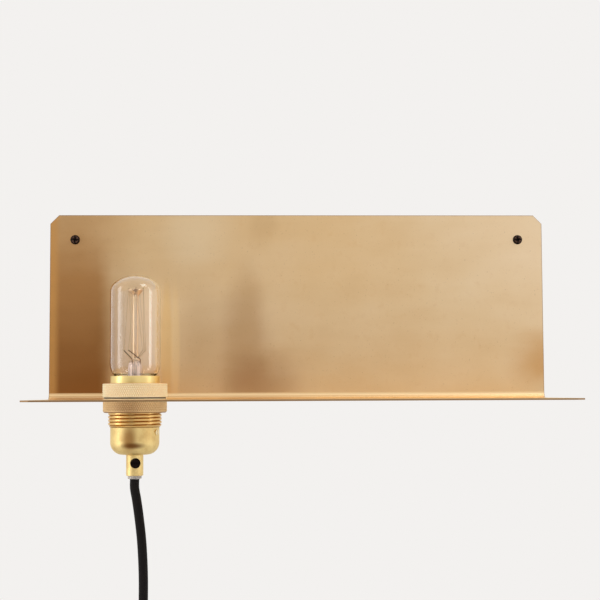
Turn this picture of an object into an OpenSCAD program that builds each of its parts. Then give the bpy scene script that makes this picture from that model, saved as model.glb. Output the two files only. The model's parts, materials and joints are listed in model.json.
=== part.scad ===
// Wall lamp with shelf: a folded brass bracket that is screwed to the wall, with a threaded
// lampholder clamped through its shelf, a tubular bulb, and a textile mains cord with an in-line
// switch, put away in a coil. Millimetres, +Z up, +X to the right seen from the room, the wall
// is the plane Y = 0 and the room lies towards -Y. The origin is midway between the wall screws.

/* [Bracket] */
// Width of the folded sheet
bracket_w = 400; // [320:10:600]
// Height from the shelf's underside to the top edge
bracket_h = 150; // [130:5:220]
// Depth from the wall to the shelf's front edge
shelf_depth = 140; // [110:5:200]
// Thickness of the sheet
sheet_t = 1.2; // [1:0.1:2]
// Inside radius of the fold
fold_r = 5; // [3:0.5:8]
// Size of the 45 degree cut at each free corner
corner_cut = 7; // [3:1:15]

/* [Wall screws] */
// Distance from each end of the plate to its screw
screw_inset = 20; // [14:1:40]
// Distance from the top edge down to the screws
screw_drop = 20; // [14:1:30]
// Diameter of the screw's shank
screw_d = 4; // [3.5:0.5:5]
// Diameter of the pan head
screw_head_d = 7.6; // [7.4:0.1:10]
// Height of the pan head
screw_head_h = 2.4; // [2:0.1:3]
// Length from the head's underside to the tip
screw_l = 35; // [30:5:50]

/* [Lampholder] */
// Distance from the left end of the bracket to the lamp's axis
holder_inset = 75; // [50:5:100]
// Distance from the wall to the lamp's axis
holder_reach = 70; // [55:5:80]
// Outer diameter of the holder's thread
thread_d = 39.8; // [39.4:0.1:40.2]
// Pitch of the holder's thread
thread_pitch = 2.5; // [2:0.25:3]
// Depth of the holder's thread
thread_depth = 1.25; // [0.8:0.05:1.4]
// Height of the holder's rim above the shelf
rim_rise = 17.7; // [16:0.1:19]
// Length of the threaded skirt
skirt_l = 38.2; // [37:0.2:40]
// Wall of the skirt under its thread
skirt_wall = 1.35; // [1:0.05:1.5]
// Diameter of the domed cap
cap_d = 36.6; // [36:0.1:37.2]
// Height of the cap below the skirt
cap_h = 20.5; // [19:0.5:24]
// Wall of the cap
cap_wall = 1.2; // [1:0.1:1.4]
// Radius of the cap's rounded lower edge
cap_round = 9; // [7:0.1:9.2]
// Turn of the cap's lock screw, from the right towards the back
lock_angle = -24; // [-60:1:60]

/* [Clamp rings] */
// Diameter of the knurled rings
ring_d = 48.6; // [46:0.2:52]
// Height of the ring above the shelf
upper_ring_h = 12.2; // [10:0.2:14]
// Height of the ring below the shelf
lower_ring_h = 8.6; // [7:0.2:9.6]
// Width of the ring's bevelled edge
ring_bevel = 0.8; // [0.4:0.1:1.2]

/* [Cord grip] */
// Diameter of the grip's sleeve
grip_d = 12.8; // [12:0.1:14]
// Length of the grip's sleeve
grip_l = 15.7; // [14:0.1:20]
// Diameter of the grip's threaded stem
stem_d = 10; // [9.5:0.5:10]
// Length of the stem inside the cap
stem_l = 8; // [7:0.5:8.5]
// Diameter of the nylon grip screw
grip_screw_d = 7.5; // [5:0.5:8]
// Height of the grip screw above the sleeve's lower end
grip_screw_rise = 9.4; // [9.2:0.1:11]
// Turn of the grip screw from straight ahead, towards the right
grip_screw_turn = 10; // [0:1:45]
// Length of the collar that shows below the sleeve
collar_show = 2.4; // [1:0.1:4]

/* [Bulb] */
// Diameter of the glass tube
glass_d = 38; // [34:0.5:40]
// Height of the glass above the holder's rim
glass_rise = 76; // [66:1:100]
// Radius of the glass at its top edge
glass_round = 10; // [8:0.5:12]
// Thickness of the glass
glass_t = 0.8; // [0.6:0.1:1]
// Outer diameter of the bulb's screw thread
bulb_thread_d = 26.2; // [26:0.05:26.4]
// Pitch of the bulb's screw thread
bulb_pitch = 3.62; // [3.5:0.02:3.7]
// Depth of the bulb's screw thread
bulb_thread_depth = 0.9; // [0.7:0.05:1]
// Thickness of the thin pressed metal shells
shell_t = 0.4; // [0.3:0.05:0.5]
// Diameter of the glass rod in the bulb
rod_d = 3; // [2:0.2:4]
// Diameter of the support wires in the bulb
support_d = 0.5; // [0.4:0.1:0.8]
// Diameter of the filament
filament_d = 0.3; // [0.2:0.05:0.4]

/* [Cord] */
// Outer diameter of the textile cord
cord_d = 7; // [6:0.1:7]
// Diameter of one insulated core
core_d = 2.2; // [2:0.1:2.4]
// Diameter of the bare conductor
wire_d = 1.2; // [1:0.1:1.4]
// Distance between neighbouring turns of the coil
turn_pitch = 7.6; // [7.6:0.1:8.4]
// Radius of the coil at its outermost turn
coil_r = 47.3; // [47.3:0.1:52]
// Whole turns in the coil
coil_turns = 9; // [5:1:9]

/* [Switch] */
// Length of the in-line switch
switch_l = 64; // [62:1:80]
// Width of the in-line switch
switch_w = 24; // [24:1:30]
// Half of the switch's depth
switch_half = 9; // [9:0.5:11]
// Wall of the switch's shells
switch_wall = 1.6; // [1.4:0.1:1.6]
// Length of the rocker
rocker_l = 20.6; // [18:0.2:22]
// Width of the rocker
rocker_w = 12; // [10:0.5:12]
// Tilt of the rocker to either side
rocker_tilt = 8; // [5:1:8]
// Diameter of the rocker's pin
pin_d = 2; // [1.6:0.1:2.4]

/* [Plug] */
// Diameter of the plug's body
plug_d = 37; // [35:0.5:40]
// Length of the plug's body
plug_l = 36; // [34:1:45]
// Length of the tapered strain relief
relief_l = 24; // [20:1:40]
// Diameter of the plug's pins
plug_pin_d = 4.8; // [4:0.1:4.8]
// Length of the plug's pins
plug_pin_l = 19; // [18:0.5:20]
// Distance between the plug's pins
plug_pin_gap = 19; // [18.5:0.5:19.5]

/* [Hidden] */
$fn = 64;

brass = "#c9a057";
bright_brass = "#dcb866";
dark_steel = "#23211f";
porcelain = "#ece7da";
black_plastic = "#1d1c1b";

fit = 0.1;       // clearance between pieces that are fixed to each other
run = 0.08;      // radial clearance of a running fit
over = 1;        // how far a cut runs past the solid
sunk = 0.2;      // how far a rib or post reaches into the wall that carries it
bite = 0.05;     // gap between a screw's tip and what it presses on

// Bracket
shelf_bottom = screw_drop - bracket_h;
shelf_top = shelf_bottom + sheet_t;
screw_x = bracket_w / 2 - screw_inset;
holder_x = holder_inset - bracket_w / 2;
recess_w = 0.9;
recess_t = 1.6;
recess_l = 4.4;
// Side of the pan head as shares of its radius and height, from the crown to the underside
head_line = [[0, 1], [0.4, 0.96], [0.72, 0.8], [0.92, 0.5], [1, 0.15], [1, 0]];
screw_plain = 13;  // plain length of the shank under the head
screw_play = 0.35;   // radial play of a wall screw's shank in the sheet's hole
screw_hole_r = screw_d / 2 + screw_play;
neck_in_sheet = screw_hole_r - fit;  // thicker neck that centres the sheet on its screw
screw_pitch = 2;
screw_root = 0.74;   // radius at the bottom of the thread, as a share of the shank's
screw_tip = [0.7, 3];  // radius of the tip's start, as a share of the shank's, and its length

// Lampholder, with heights counted from the shelf's top face
crest_r = thread_d / 2;
root_r = crest_r - thread_depth;
skirt_r = root_r - skirt_wall;
skirt_bottom = rim_rise - skirt_l;
thread_n = floor((skirt_l - rim_rise + upper_ring_h) / thread_pitch);
cap_r = cap_d / 2;
cap_bottom = skirt_bottom - cap_h;
cap_floor = cap_bottom + cap_wall;
collar_top = skirt_bottom + 8.5;
collar_r = skirt_r - fit;
collar_wall = 1.2;
insert_r = collar_r - collar_wall - fit;
insert_top = 4;
insert_bottom = skirt_bottom - 3.5;
ledge_t = 2;
ledge_r = skirt_r - 2.1;
hole_gap = 0.2;      // between the thread and the shelf's hole
rim_ease = 0.3;
lower_ring_less = 0.3;  // how much smaller the lower ring's radius is
ring_ease = 0.3;
groove_z = [1.3, 1.9];  // the fine groove round the upper ring
groove_depth = 0.5;
lip_in = 0.2;        // how far the lip under the knurl stands back from it
lock_r = 1.5;
lock_head_r = 2.25;
lock_head_h = 0.7;
lock_drop = 3.8;     // distance of the lock screw below the skirt

// Bulb screw and the shell that it turns in
bulb_crest_r = bulb_thread_d / 2;
bulb_root_r = bulb_crest_r - bulb_thread_depth;
bulb_rim_top = 10.5;
bulb_rim_r = bulb_crest_r + 0.2;
bulb_thread_top = 8.2;
bulb_threads = 4;
bulb_thread_bottom = bulb_thread_top - (bulb_threads + 0.5) * bulb_pitch;
bulb_taper_r = 9;
bulb_taper_z = bulb_thread_bottom - 3.3;
bulb_tip_r = 4.8;
bulb_tip_top = bulb_taper_z - 3;
bulb_tip_z = bulb_tip_top - 1.7;
shell_inner_r = bulb_crest_r + run;
shell_outer_r = shell_inner_r + shell_t;
shell_top = insert_top - 0.5;
shell_from = bulb_thread_top - bulb_threads * bulb_pitch;
shell_step = bulb_taper_z - 1.8;
shell_lip_r = 9.8;
well_r = 9.6;
well_bore = shell_outer_r + 0.6;
well_floor = bulb_tip_z - 3.5;

// Screws and terminals in the lampholder
small_screw_r = 1.25;
small_head_r = 1.6;
small_head_h = 0.8;
shell_screw_x = 11.4;
second_screw_turn = 135;
strip_screw_x = -7;
strip_w = 6;
strip_head_r = 2;
shell_nut_r = 2.9;
shell_nut_h = 1.6;
live_x = -8;
neutral_x = 11;
block = [7, 6, 5];
block_top = insert_bottom;
wire_z = block_top - 2.5;
screw_into_block = 1.2;
wire_hole_r = 0.9;
wire_hole_l = 5.2;
terminal_head = [1.9, 1.2];  // radius and height of the screw's head
tag_t = 0.8;
tag_r = 8;
tag_w = 6;
nut_flats = 14;
nut_h = 3;
earth_block = [6, 4, 6];
earth_y = nut_flats / 2 + 0.6;
earth_wire_in = 2;   // how far the conductor lies behind the block's face
earth_wire_l = 3.5;
earth_head = [1.8, 1.2];

// Cord grip
grip_r = grip_d / 2;
stem_r = stem_d / 2;
bore_r = cord_d / 2 + fit;
grip_bottom = cap_bottom - grip_l;
mouth_z = grip_bottom - collar_show;
grip_screw_z = grip_bottom + grip_screw_rise;
grip_screw_face = grip_r - 0.4;
collar_d = 10.4;
collar_in = 5;
grip_ease = 0.3;
stem_ease = 0.4;
grip_screw_from = 2;  // start of the screw's hole, from the axis
grip_slot = 1;
entry_top = cap_bottom + stem_l - 1.5;

// Glass and the bulb's inner pieces
glass_r = glass_d / 2;
neck_r = bulb_crest_r - 0.35;
neck_bottom = bulb_thread_top + 0.5;
glass_top = rim_rise + glass_rise;
lower_shoulder = rim_rise + 9.8;
lower_round = 10.8;
flare_r = neck_r - glass_t - fit;
flare_edge = -65;    // where the flare of the neck ends on the lower shoulder's arc
flare_drop = 13;     // from the lower shoulder down to the start of the flare
stem_t = 0.8;
stem_neck = [6, 12.5];
stem_tube_r = 4.9;
stem_tube_from = 15;
stem_tube_top = rim_rise + 7.8;
bead_z = stem_tube_top + 2.9;
bead_r = 3.4;
rod_top = glass_top - 14;
button_z = rod_top + 0.3;
button_ball = max(2, rod_d / 2 + 0.4);
top_hook_r = 6;
top_hook_z = rod_top + 4.2;
low_hook_r = 8.5;
low_hook_z = stem_tube_top + 11.5;
support_r = support_d / 2;
lead_r = 0.35;
filament_r = filament_d / 2;
first_strand = 190;  // turn of the first lower end of the filament
strand_step = -39;   // turn from each end of a strand to the next
strands = 8;
hook_gap = support_r + filament_r + 0.05;

// Route of the cord below the holder, from the mouth of the grip's collar down to the
// switch's upper clamp, as offsets from the mouth
drop_route = [[0, 0, 0], [0, 0, -7], [1.6, 0, -16], [3.6, 0, -30], [5.3, 0, -45],
    [6.3, 0, -60], [6.8, 0, -75], [6.8, 0, -91], [6.8, 0, -107]];
// Route from the switch's lower clamp to the coil, as offsets from where it leaves the clamp
link_route = [[0, 0, 0], [0, 0, -9], [0, 0, -16], [0, -1.4, -26.5], [0, -5.7, -37],
    [0, -10, -47.5], [0, -11.4, -58], [1.6, -11.4, -67.8], [6.4, -11.4, -76.5],
    [13.7, -11.4, -83.2], [19.6, -11.4, -87]];
// Route of the tail from the coil to the plug
tail_route = [[0, 0, 0], [0, 0, -8.5], [0, 0, -17]];
drop_sides = 10;
clamp_depth = 9;  // how far a cord's jacket reaches into the switch

// Coil: four layers of turns that spiral in and out again, one layer behind the other
coil_layers = 4;
coil_rings = 24;  // rings for each turn
coil_sides = 6;
coil_lead = 7;    // straight length at each end
clamp_end = drop_route[len(drop_route) - 1];
mouth = [holder_x, -holder_reach, shelf_top + mouth_z];
switch_top = mouth + clamp_end + [0, 0, clamp_depth];
link_start = switch_top - [0, 0, switch_l - clamp_depth];
link_end = link_start + link_route[len(link_route) - 1];
link_step = link_route[len(link_route) - 1] - link_route[len(link_route) - 2];
coil_heading = link_step / norm(link_step);
start_angle = atan2(coil_heading.x, -coil_heading.z);
coil_centre = link_end + coil_lead * coil_heading
    - coil_r * [cos(start_angle), 0, sin(start_angle)];
all_turns = coil_turns + start_angle / 360;
layer_turns = all_turns / coil_layers;
coil_inner_r = coil_r - turn_pitch * layer_turns;
layer_pitch = turn_pitch;
coil_depth = layer_pitch * (coil_layers - 1);
tail_start = coil_centre + [coil_r, coil_depth, -coil_lead];
plug_top = tail_start + tail_route[len(tail_route) - 1];
tie_t = 1.6;
tie_w = 12;
tie_gap = 0.3;       // between the tie and the cord that it holds
tie_slack = 0.8;     // the same on the tie's inner side

// Switch, in a frame with its top at z = 0, its joint at y = 0 and the room towards -y
nose_w = 13;         // width at the ends
case_slope = 9;      // length of the sloping part of the sides
case_bevel = 2;
case_end_bevel = 4;
pivot_y = -(switch_half - 2.5);
pivot_z = -switch_l / 2;
inner_half = switch_half - switch_wall;
inner_w = switch_w / 2 - 1.8;
end_wall = 3;
window = [rocker_w + 0.6, rocker_l + 2];
ear = [2, 3.2, 6];
ear_x = rocker_w / 2 + 0.4;
throw = 7.5;         // distance from the rocker's axis to its contact
bridge_t = 0.6;
rocker_foot = 2.6;
rocker_dip = 2.6;    // height of the rocker's face above its axis in the middle
rocker_end = [4.05, 1.5];  // heights of its face and underside at the ends
bridge_w = 5;
ear_rise = 2.4;
bridge_face = rocker_foot + bite + bridge_t;
post_r = 1.2;
post_gap = 0.05;
block_y = 1.5;       // front of the terminal blocks
block_w = 9;
wire_x = 2.9;
wire_y = 4;
wire_depth = 6;
upper_block = [pivot_z + 4, 8.5];      // bottom and height of the two contact blocks
middle_block = [pivot_z - 4.5, 7.5];
upper_screw_z = pivot_z + 10;
middle_screw_z = pivot_z - 2.2;
contact_head = [1.55, 1];
core_x = -7.5;
earth_core_x = 8.4;
clamp_x = 5.5;
clamp_z = 6.5;       // distance of each cord clamp from the end of the switch
clamp_t = 1.8;
clamp_l = 14.2;
clamp_w = 3.4;
clamp_post_r = 1.5;
clamp_screw_r = 1;
clamp_screw_in = 5;
clamp_head = [1.5, 0.8];
clamp_face = cord_d / 2 + 0.1;
boss_r = 2.6;         // reaches 0.2 into the side wall
bosses = [[7.8, pivot_z + 17.8], [-7.8, pivot_z - 17]];
case_screw_r = 1.1;
case_head_r = 1.9;
case_head_in = 1.4;
case_head_h = 1.2;
case_screw_in = 6;    // how far the screw reaches into the front shell

// Plug, in a frame with its top at z = 0 and its pins pointing down
relief_r = 4.6;
relief_grow = 2.2;
relief_ribs = 6;
rib_depth = 0.7;
plug_neck_r = 8;
plug_shoulder = 12;
clip_w = 6;
clip_t = 0.8;
clip_l = 20;
clip_slot = 1.4;
plug_ease = 0.8;
pin_embed = 10;
pin_step = 0.3;
earth_hole_y = 9.5;
earth_hole_l = 16;
socket_in = 0.4;      // how far the earth socket lies inside the plug's face
socket_l = 15.5;
socket_depth = 14;
socket_r = 3;
socket_bore = 2.5;

function arc(c, rx, ry, from, to, n = 8) =
    [for (i = [0:n]) let (a = from + (to - from) * i / n) [c.x + rx * cos(a), c.y + ry * sin(a)]];
// Thread ridges that go up from a height, as radius and height
function ridge(z, root, crest, pitch) = [[root, z - 0.46 * pitch], [crest, z - 0.12 * pitch],
    [crest, z + 0.12 * pitch], [root, z + 0.46 * pitch]];
function ridges(from, n, root, crest, pitch) =
    [for (i = [0:n - 1]) each ridge(from + pitch * (i + 0.5), root, crest, pitch)];
function reversed(p) = [for (i = [len(p) - 1:-1:0]) p[i]];
function unit(v) = v / norm(v);
function smooth(t) = let (c = min(max(t, 0), 1)) c * c * (3 - 2 * c);
function polar(r, a, z) = [r * cos(a), r * sin(a), z];

// A round tube through the points of a path; r is its radius, or one radius for each point
module tube(p, r, sides, side = [0, 1, 0]) {
    n = len(p);
    ways = [for (i = [0:n - 1])
        i == 0 ? unit(p[1] - p[0])
        : i == n - 1 ? unit(p[n - 1] - p[n - 2])
        : unit(unit(p[i + 1] - p[i]) + unit(p[i] - p[i - 1]))];
    across = [for (i = 0, u = unit(cross(ways[0], side)); i < n;
        i = i + 1, u = i < n ? unit(u - (u * ways[i]) * ways[i]) : u) u];
    points = [for (i = [0:n - 1]) let (u = across[i], v = cross(ways[i], u),
            size = is_list(r) ? r[i] : r)
        for (k = [0:sides - 1]) p[i] + size * (cos(360 * k / sides) * u + sin(360 * k / sides) * v)];
    walls = [for (i = [0:n - 2], k = [0:sides - 1])
        let (a = i * sides + k, b = i * sides + (k + 1) % sides)
        each [[b, a, a + sides], [b, a + sides, b + sides]]];
    last = (n - 1) * sides;
    ends = [for (k = [1:sides - 2]) each [[0, k, k + 1], [last, last + k + 1, last + k]]];
    polyhedron(points, concat(walls, ends), convexity = 8);
}
// An insulated core whose last stretch, on to the point bare, has lost its insulation
module core(p, bare = undef) {
    end = p[len(p) - 1];
    if (is_undef(bare)) tube(p, core_d / 2, 8);
    else tube(concat(p, [end + 0.05 * unit(bare - end), bare]),
        concat([for (q = p) core_d / 2], [wire_d / 2, wire_d / 2]), 8);
}

// A bent round bar through the points of a path
module bar(p, r) {
    for (i = [1:len(p) - 1])
        translate(p[i - 1]) along(p[i] - p[i - 1]) cylinder(h = norm(p[i] - p[i - 1]), r = r);
    for (i = [1:1:len(p) - 2])
        translate(p[i]) sphere(r = r);
}
module along(v) rotate([0, acos(v.z / norm(v)), atan2(v.y, v.x)]) children();
module back_to_wall() rotate([-90, 0, 0]) children();  // +z becomes +y
module out_of_wall() rotate([90, 0, 0]) children();    // +z becomes -y
// A slotted screw: the underside of its head at the origin, its shank going down
module screw(r, l, head_r, head_h) difference() {
    union() {
        cylinder(h = head_h, r = head_r);
        translate([0, 0, -l]) cylinder(h = l, r = r);
    }
    translate([-head_r - over, -0.3, head_h / 2]) cube([2 * (head_r + over), 0.6, head_h]);
}
module at_holder() translate([holder_x, -holder_reach, shelf_top]) children();
module at_switch() translate(switch_top) children();
module at_plug() translate(plug_top) children();

// ---- Bracket and what holds it to the wall ----

function cut_sheet(fold, edge) = let (w = bracket_w / 2, c = corner_cut,
        s = edge > fold ? c : -c)
    [[-w, fold], [-w, edge - s], [-w + c, edge], [w - c, edge], [w, edge - s], [w, fold]];

module shelf_bracket() color(brass) difference() {
    union() {
        out_of_wall() linear_extrude(sheet_t) polygon(cut_sheet(shelf_top + fold_r, screw_drop));
        translate([0, 0, shelf_bottom]) linear_extrude(sheet_t)
            polygon(cut_sheet(-(sheet_t + fold_r), -shelf_depth));
        translate([-bracket_w / 2, -(sheet_t + fold_r), shelf_top + fold_r]) rotate([0, 90, 0])
            rotate_extrude(angle = 90) translate([fold_r, 0]) square([sheet_t, bracket_w]);
    }
    for (s = [-1, 1])
        translate([s * screw_x, over, 0]) out_of_wall()
            cylinder(h = sheet_t + 2 * over, r = screw_hole_r);
    at_holder() translate([0, 0, -sheet_t - over])
        cylinder(h = sheet_t + 2 * over, r = crest_r + hole_gap);
}

// Pan heads with a cross recess, the shanks plain near the wall and threaded in its plug
module wall_screws() color(dark_steel) for (s = [-1, 1])
    translate([s * screw_x, -sheet_t, 0]) back_to_wall() rotate([0, 0, 42 + 13 * s]) difference() {
        r = screw_d / 2;
        head = [for (p = head_line) [p.x * screw_head_d / 2, -p.y * screw_head_h]];
        turns = floor((screw_l - screw_plain - screw_tip.y - 1) / screw_pitch);
        rotate_extrude() polygon(concat(head, [[neck_in_sheet, 0], [neck_in_sheet, sheet_t],
            [r, sheet_t], [r, screw_plain]],
            ridges(screw_plain + 0.5, turns, screw_root * r, r, screw_pitch),
            [[screw_tip.x * r, screw_l - screw_tip.y], [0, screw_l]]));
        for (a = [0, 90]) rotate([0, 0, a])
            translate([-recess_l / 2, -recess_w / 2, -screw_head_h - over])
                cube([recess_l, recess_w, recess_t + over]);
    }

// ---- Lampholder ----

// Outside of the threaded skirt, going up
function skirt_line(gap) = concat([[root_r + gap, skirt_bottom]],
    ridges(skirt_bottom + 0.2, thread_n, root_r + gap, crest_r + gap, thread_pitch),
    [[root_r + gap, rim_rise - rim_ease]]);

module holder_skirt() color(bright_brass) at_holder() rotate_extrude()
    polygon(concat(skirt_line(0), [[root_r - rim_ease, rim_rise], [skirt_r, rim_rise],
        [skirt_r, insert_top + ledge_t], [ledge_r, insert_top + ledge_t], [ledge_r, insert_top],
        [skirt_r, insert_top], [skirt_r, skirt_bottom]]));

// A ring's bore, threaded to run on the skirt
module ring_bore() rotate_extrude() polygon(concat([[0, skirt_bottom]], skirt_line(run),
    [[root_r + run, rim_rise + over], [0, rim_rise + over]]));

module upper_ring() color(brass) at_holder() difference() {
    r = ring_d / 2;
    lip = r - lip_in;
    rotate_extrude() polygon([[root_r - over, 0], [lip - ring_ease, 0], [lip, ring_ease],
        [lip, groove_z[0]], [lip - groove_depth, groove_z[0]], [lip - groove_depth, groove_z[1]],
        [lip, groove_z[1]], [r, groove_z[1] + ring_ease], [r, upper_ring_h - ring_bevel],
        [r - ring_bevel, upper_ring_h], [root_r - over, upper_ring_h]]);
    ring_bore();
}

module lower_ring() color(brass) at_holder() difference() {
    r = ring_d / 2 - lower_ring_less;
    translate([0, 0, -sheet_t]) rotate_extrude() polygon([[root_r - over, 0], [r - ring_ease, 0],
        [r, -ring_ease], [r, -lower_ring_h + 1.5 * ring_bevel], [r - 1.5 * ring_bevel, -lower_ring_h],
        [root_r - over, -lower_ring_h]]);
    ring_bore();
}

module holder_cap() color(brass) at_holder() difference() {
    edge = [cap_r - cap_round, cap_bottom + cap_round];
    rotate_extrude() polygon(concat([[stem_r + fit, cap_bottom]],
        arc(edge, cap_round, cap_round, -90, 0, 10),
        [[cap_r, skirt_bottom], [collar_r, skirt_bottom], [collar_r, collar_top],
        [collar_r - collar_wall, collar_top], [collar_r - collar_wall, skirt_bottom - cap_wall],
        [cap_r - cap_wall, skirt_bottom - cap_wall]],
        arc(edge, cap_round - cap_wall, cap_round - cap_wall, 0, -90, 10),
        [[stem_r + fit, cap_floor]]));
    at_lock() cylinder(h = cap_r, r = lock_r + 0.05);
}

lock_from = insert_r + bite;
module at_lock() translate([0, 0, skirt_bottom - lock_drop]) rotate([0, 0, lock_angle])
    rotate([0, 90, 0]) translate([0, 0, lock_from]) children();
module cap_lock_screw() color(bright_brass) at_holder() at_lock()
    translate([0, 0, cap_r - lock_from]) screw(lock_r, cap_r - lock_from, lock_head_r, lock_head_h);

// ---- Inside the lampholder ----

shell_spots = [[shell_screw_x, 0], [shell_screw_x * cos(second_screw_turn),
    shell_screw_x * sin(second_screw_turn)]];

module ceramic_insert() color(porcelain) at_holder() difference() {
    rotate_extrude() polygon([[0, insert_bottom], [insert_r, insert_bottom],
        [insert_r, collar_top], [collar_r, collar_top], [collar_r, insert_top],
        [well_bore, insert_top], [well_bore, shell_step], [well_r, shell_step],
        [well_r, well_floor], [0, well_floor]]);
    translate([strip_screw_x, 0, insert_bottom - over])
        cylinder(h = well_floor - insert_bottom + 2 * over, r = small_screw_r + 0.3);
    for (p = shell_spots) translate([p.x, p.y, insert_bottom - over])
        cylinder(h = shell_step - insert_bottom + 2 * over, r = small_screw_r + 0.1);
}

// Side of the screw shell, going up: plain, then three ridges of the bulb's thread
function shell_line(gap) = let (rows = ridges(shell_from, bulb_threads - 1,
        bulb_root_r + run + gap, shell_inner_r + gap, bulb_pitch))
    concat([[shell_inner_r + gap, shell_from - 1]], [for (i = [0:len(rows) - 2]) rows[i]],
    [[shell_inner_r + gap, shell_top]]);

module screw_shell() color(bright_brass) at_holder() difference() {
    rotate_extrude() polygon(concat([[shell_outer_r, shell_step]], shell_line(shell_t),
        reversed(shell_line(0)), [[shell_inner_r, shell_step + shell_t],
        [shell_lip_r, shell_step + shell_t], [shell_lip_r, shell_step]]));
    for (p = shell_spots) translate([p.x, p.y, shell_step - over])
        cylinder(h = shell_t + 2 * over, r = small_screw_r + 0.1);
}

module shell_screws() color(dark_steel) at_holder() for (p = shell_spots)
    translate([p.x, p.y, shell_step + shell_t]) screw(small_screw_r,
        shell_step + shell_t - block_top + screw_into_block, small_head_r, small_head_h);

module shell_nut() color(bright_brass) at_holder()
    translate([shell_spots[1].x, shell_spots[1].y, insert_bottom - shell_nut_h]) difference() {
        cylinder(h = shell_nut_h, r = shell_nut_r, $fn = 6);
        translate([0, 0, -over]) cylinder(h = shell_nut_h + 2 * over, r = small_screw_r + 0.05);
    }

// A springy strip: flat under its screw, then rising to the bulb's centre contact
module centre_contact() color(bright_brass) at_holder() difference() {
    low = well_floor;
    top = bulb_tip_z - fit - shell_t;
    line = [[-9, low], [-4.6, low], [-0.8, top], [1.2, top], [3.2, top - 0.9]];
    out_of_wall() linear_extrude(strip_w, center = true)
        polygon(concat(line, reversed([for (p = line) p + [0, shell_t]])));
    translate([strip_screw_x, 0, low - over])
        cylinder(h = shell_t + 2 * over, r = small_screw_r + 0.1);
}

module contact_screw() color(dark_steel) at_holder()
    translate([strip_screw_x, 0, well_floor + shell_t]) screw(small_screw_r,
        well_floor + shell_t - block_top + screw_into_block, strip_head_r, small_head_h);

module terminal_blocks() color(bright_brass) at_holder() {
    terminal(live_x, 1, strip_screw_x);
    terminal(neutral_x, -1, shell_screw_x);
}
module terminal(x, side, top_x) difference() {
    bore = small_screw_r + 0.05;
    translate([x - block.x / 2, -block.y / 2, block_top - block.z]) cube(block);
    translate([x + side * (block.x / 2 + over), 0, wire_z]) rotate([0, -side * 90, 0])
        cylinder(h = over + wire_hole_l, r = wire_hole_r);
    translate([x, 0, block_top - block.z - over]) cylinder(h = over + block.z / 2, r = bore);
    translate([top_x, 0, block_top - screw_into_block - bite])
        cylinder(h = screw_into_block + bite + over, r = bore);
}

module terminal_screws() color(dark_steel) at_holder() for (x = [live_x, neutral_x])
    translate([x, 0, block_top - block.z]) rotate([180, 0, 0])
        screw(small_screw_r, block.z / 2 - wire_d / 2 - bite, terminal_head.x, terminal_head.y);

// A washer under the nut, with a block for the earth conductor standing on its tab
module earth_tag() color(bright_brass) at_holder() translate([0, 0, cap_floor]) difference() {
    union() {
        cylinder(h = tag_t, r = tag_r);
        translate([-tag_w / 2, 0, 0]) cube([tag_w, tag_r + 0.4, tag_t]);
        translate([-tag_w / 2, earth_y, tag_t]) cube(earth_block);
    }
    translate([0, 0, -over]) cylinder(h = tag_t + 2 * over, r = stem_r + fit);
    translate([0, earth_y + earth_wire_in, tag_t + 2]) cylinder(h = earth_block.z, r = wire_hole_r);
    translate([0, earth_y + earth_wire_in, tag_t + earth_wire_l]) back_to_wall()
        cylinder(h = earth_wire_in + over, r = small_screw_r + 0.05);
}

module earth_screw() color(dark_steel) at_holder()
    translate([0, earth_y + earth_block.y, cap_floor + tag_t + earth_wire_l]) back_to_wall()
        screw(small_screw_r, earth_wire_in - wire_d / 2 - bite, earth_head.x, earth_head.y);

module grip_nut() color(bright_brass) at_holder() translate([0, 0, cap_floor + tag_t])
    difference() {
        cylinder(h = nut_h, r = nut_flats / 2 / cos(30), $fn = 6);
        translate([0, 0, -over]) cylinder(h = nut_h + 2 * over, r = stem_r + fit);
    }

// ---- Cord grip ----

module at_grip_screw() translate([0, 0, grip_screw_z]) rotate([0, 0, grip_screw_turn - 90])
    rotate([0, 90, 0]) children();

module cord_grip() color(brass) at_holder() difference() {
    rotate_extrude() polygon([[collar_d / 2 + fit, grip_bottom], [grip_r - grip_ease, grip_bottom],
        [grip_r, grip_bottom + grip_ease], [grip_r, cap_bottom - grip_ease],
        [grip_r - grip_ease, cap_bottom], [stem_r, cap_bottom],
        [stem_r, cap_bottom + stem_l - stem_ease], [stem_r - stem_ease, cap_bottom + stem_l],
        [bore_r, cap_bottom + stem_l],
        [bore_r, grip_bottom + collar_in], [collar_d / 2 + fit, grip_bottom + collar_in]]);
    at_grip_screw() translate([0, 0, grip_screw_from])
        cylinder(h = grip_r, r = grip_screw_d / 2 + fit);
}

module grip_screw() color(black_plastic) at_holder() at_grip_screw()
    translate([0, 0, cord_d / 2 + bite]) difference() {
        l = grip_screw_face - cord_d / 2 - bite;
        cylinder(h = l, r = grip_screw_d / 2);
        translate([-grip_slot / 2, -grip_screw_d, l - grip_slot])
            cube([grip_slot, 2 * grip_screw_d, 2 * grip_slot]);
    }

module grip_collar() color("#d8c9a3") at_holder() rotate_extrude()
    polygon([[bore_r, mouth_z], [collar_d / 2 - 0.4, mouth_z], [collar_d / 2, mouth_z + 0.4],
        [collar_d / 2, grip_bottom + collar_in - bite], [bore_r, grip_bottom + collar_in - bite]]);

// The cord's jacket inside the grip
module cord_entry() color(black_plastic) at_holder() translate([0, 0, mouth_z])
    cylinder(h = entry_top - mouth_z, r = cord_d / 2);

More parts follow.
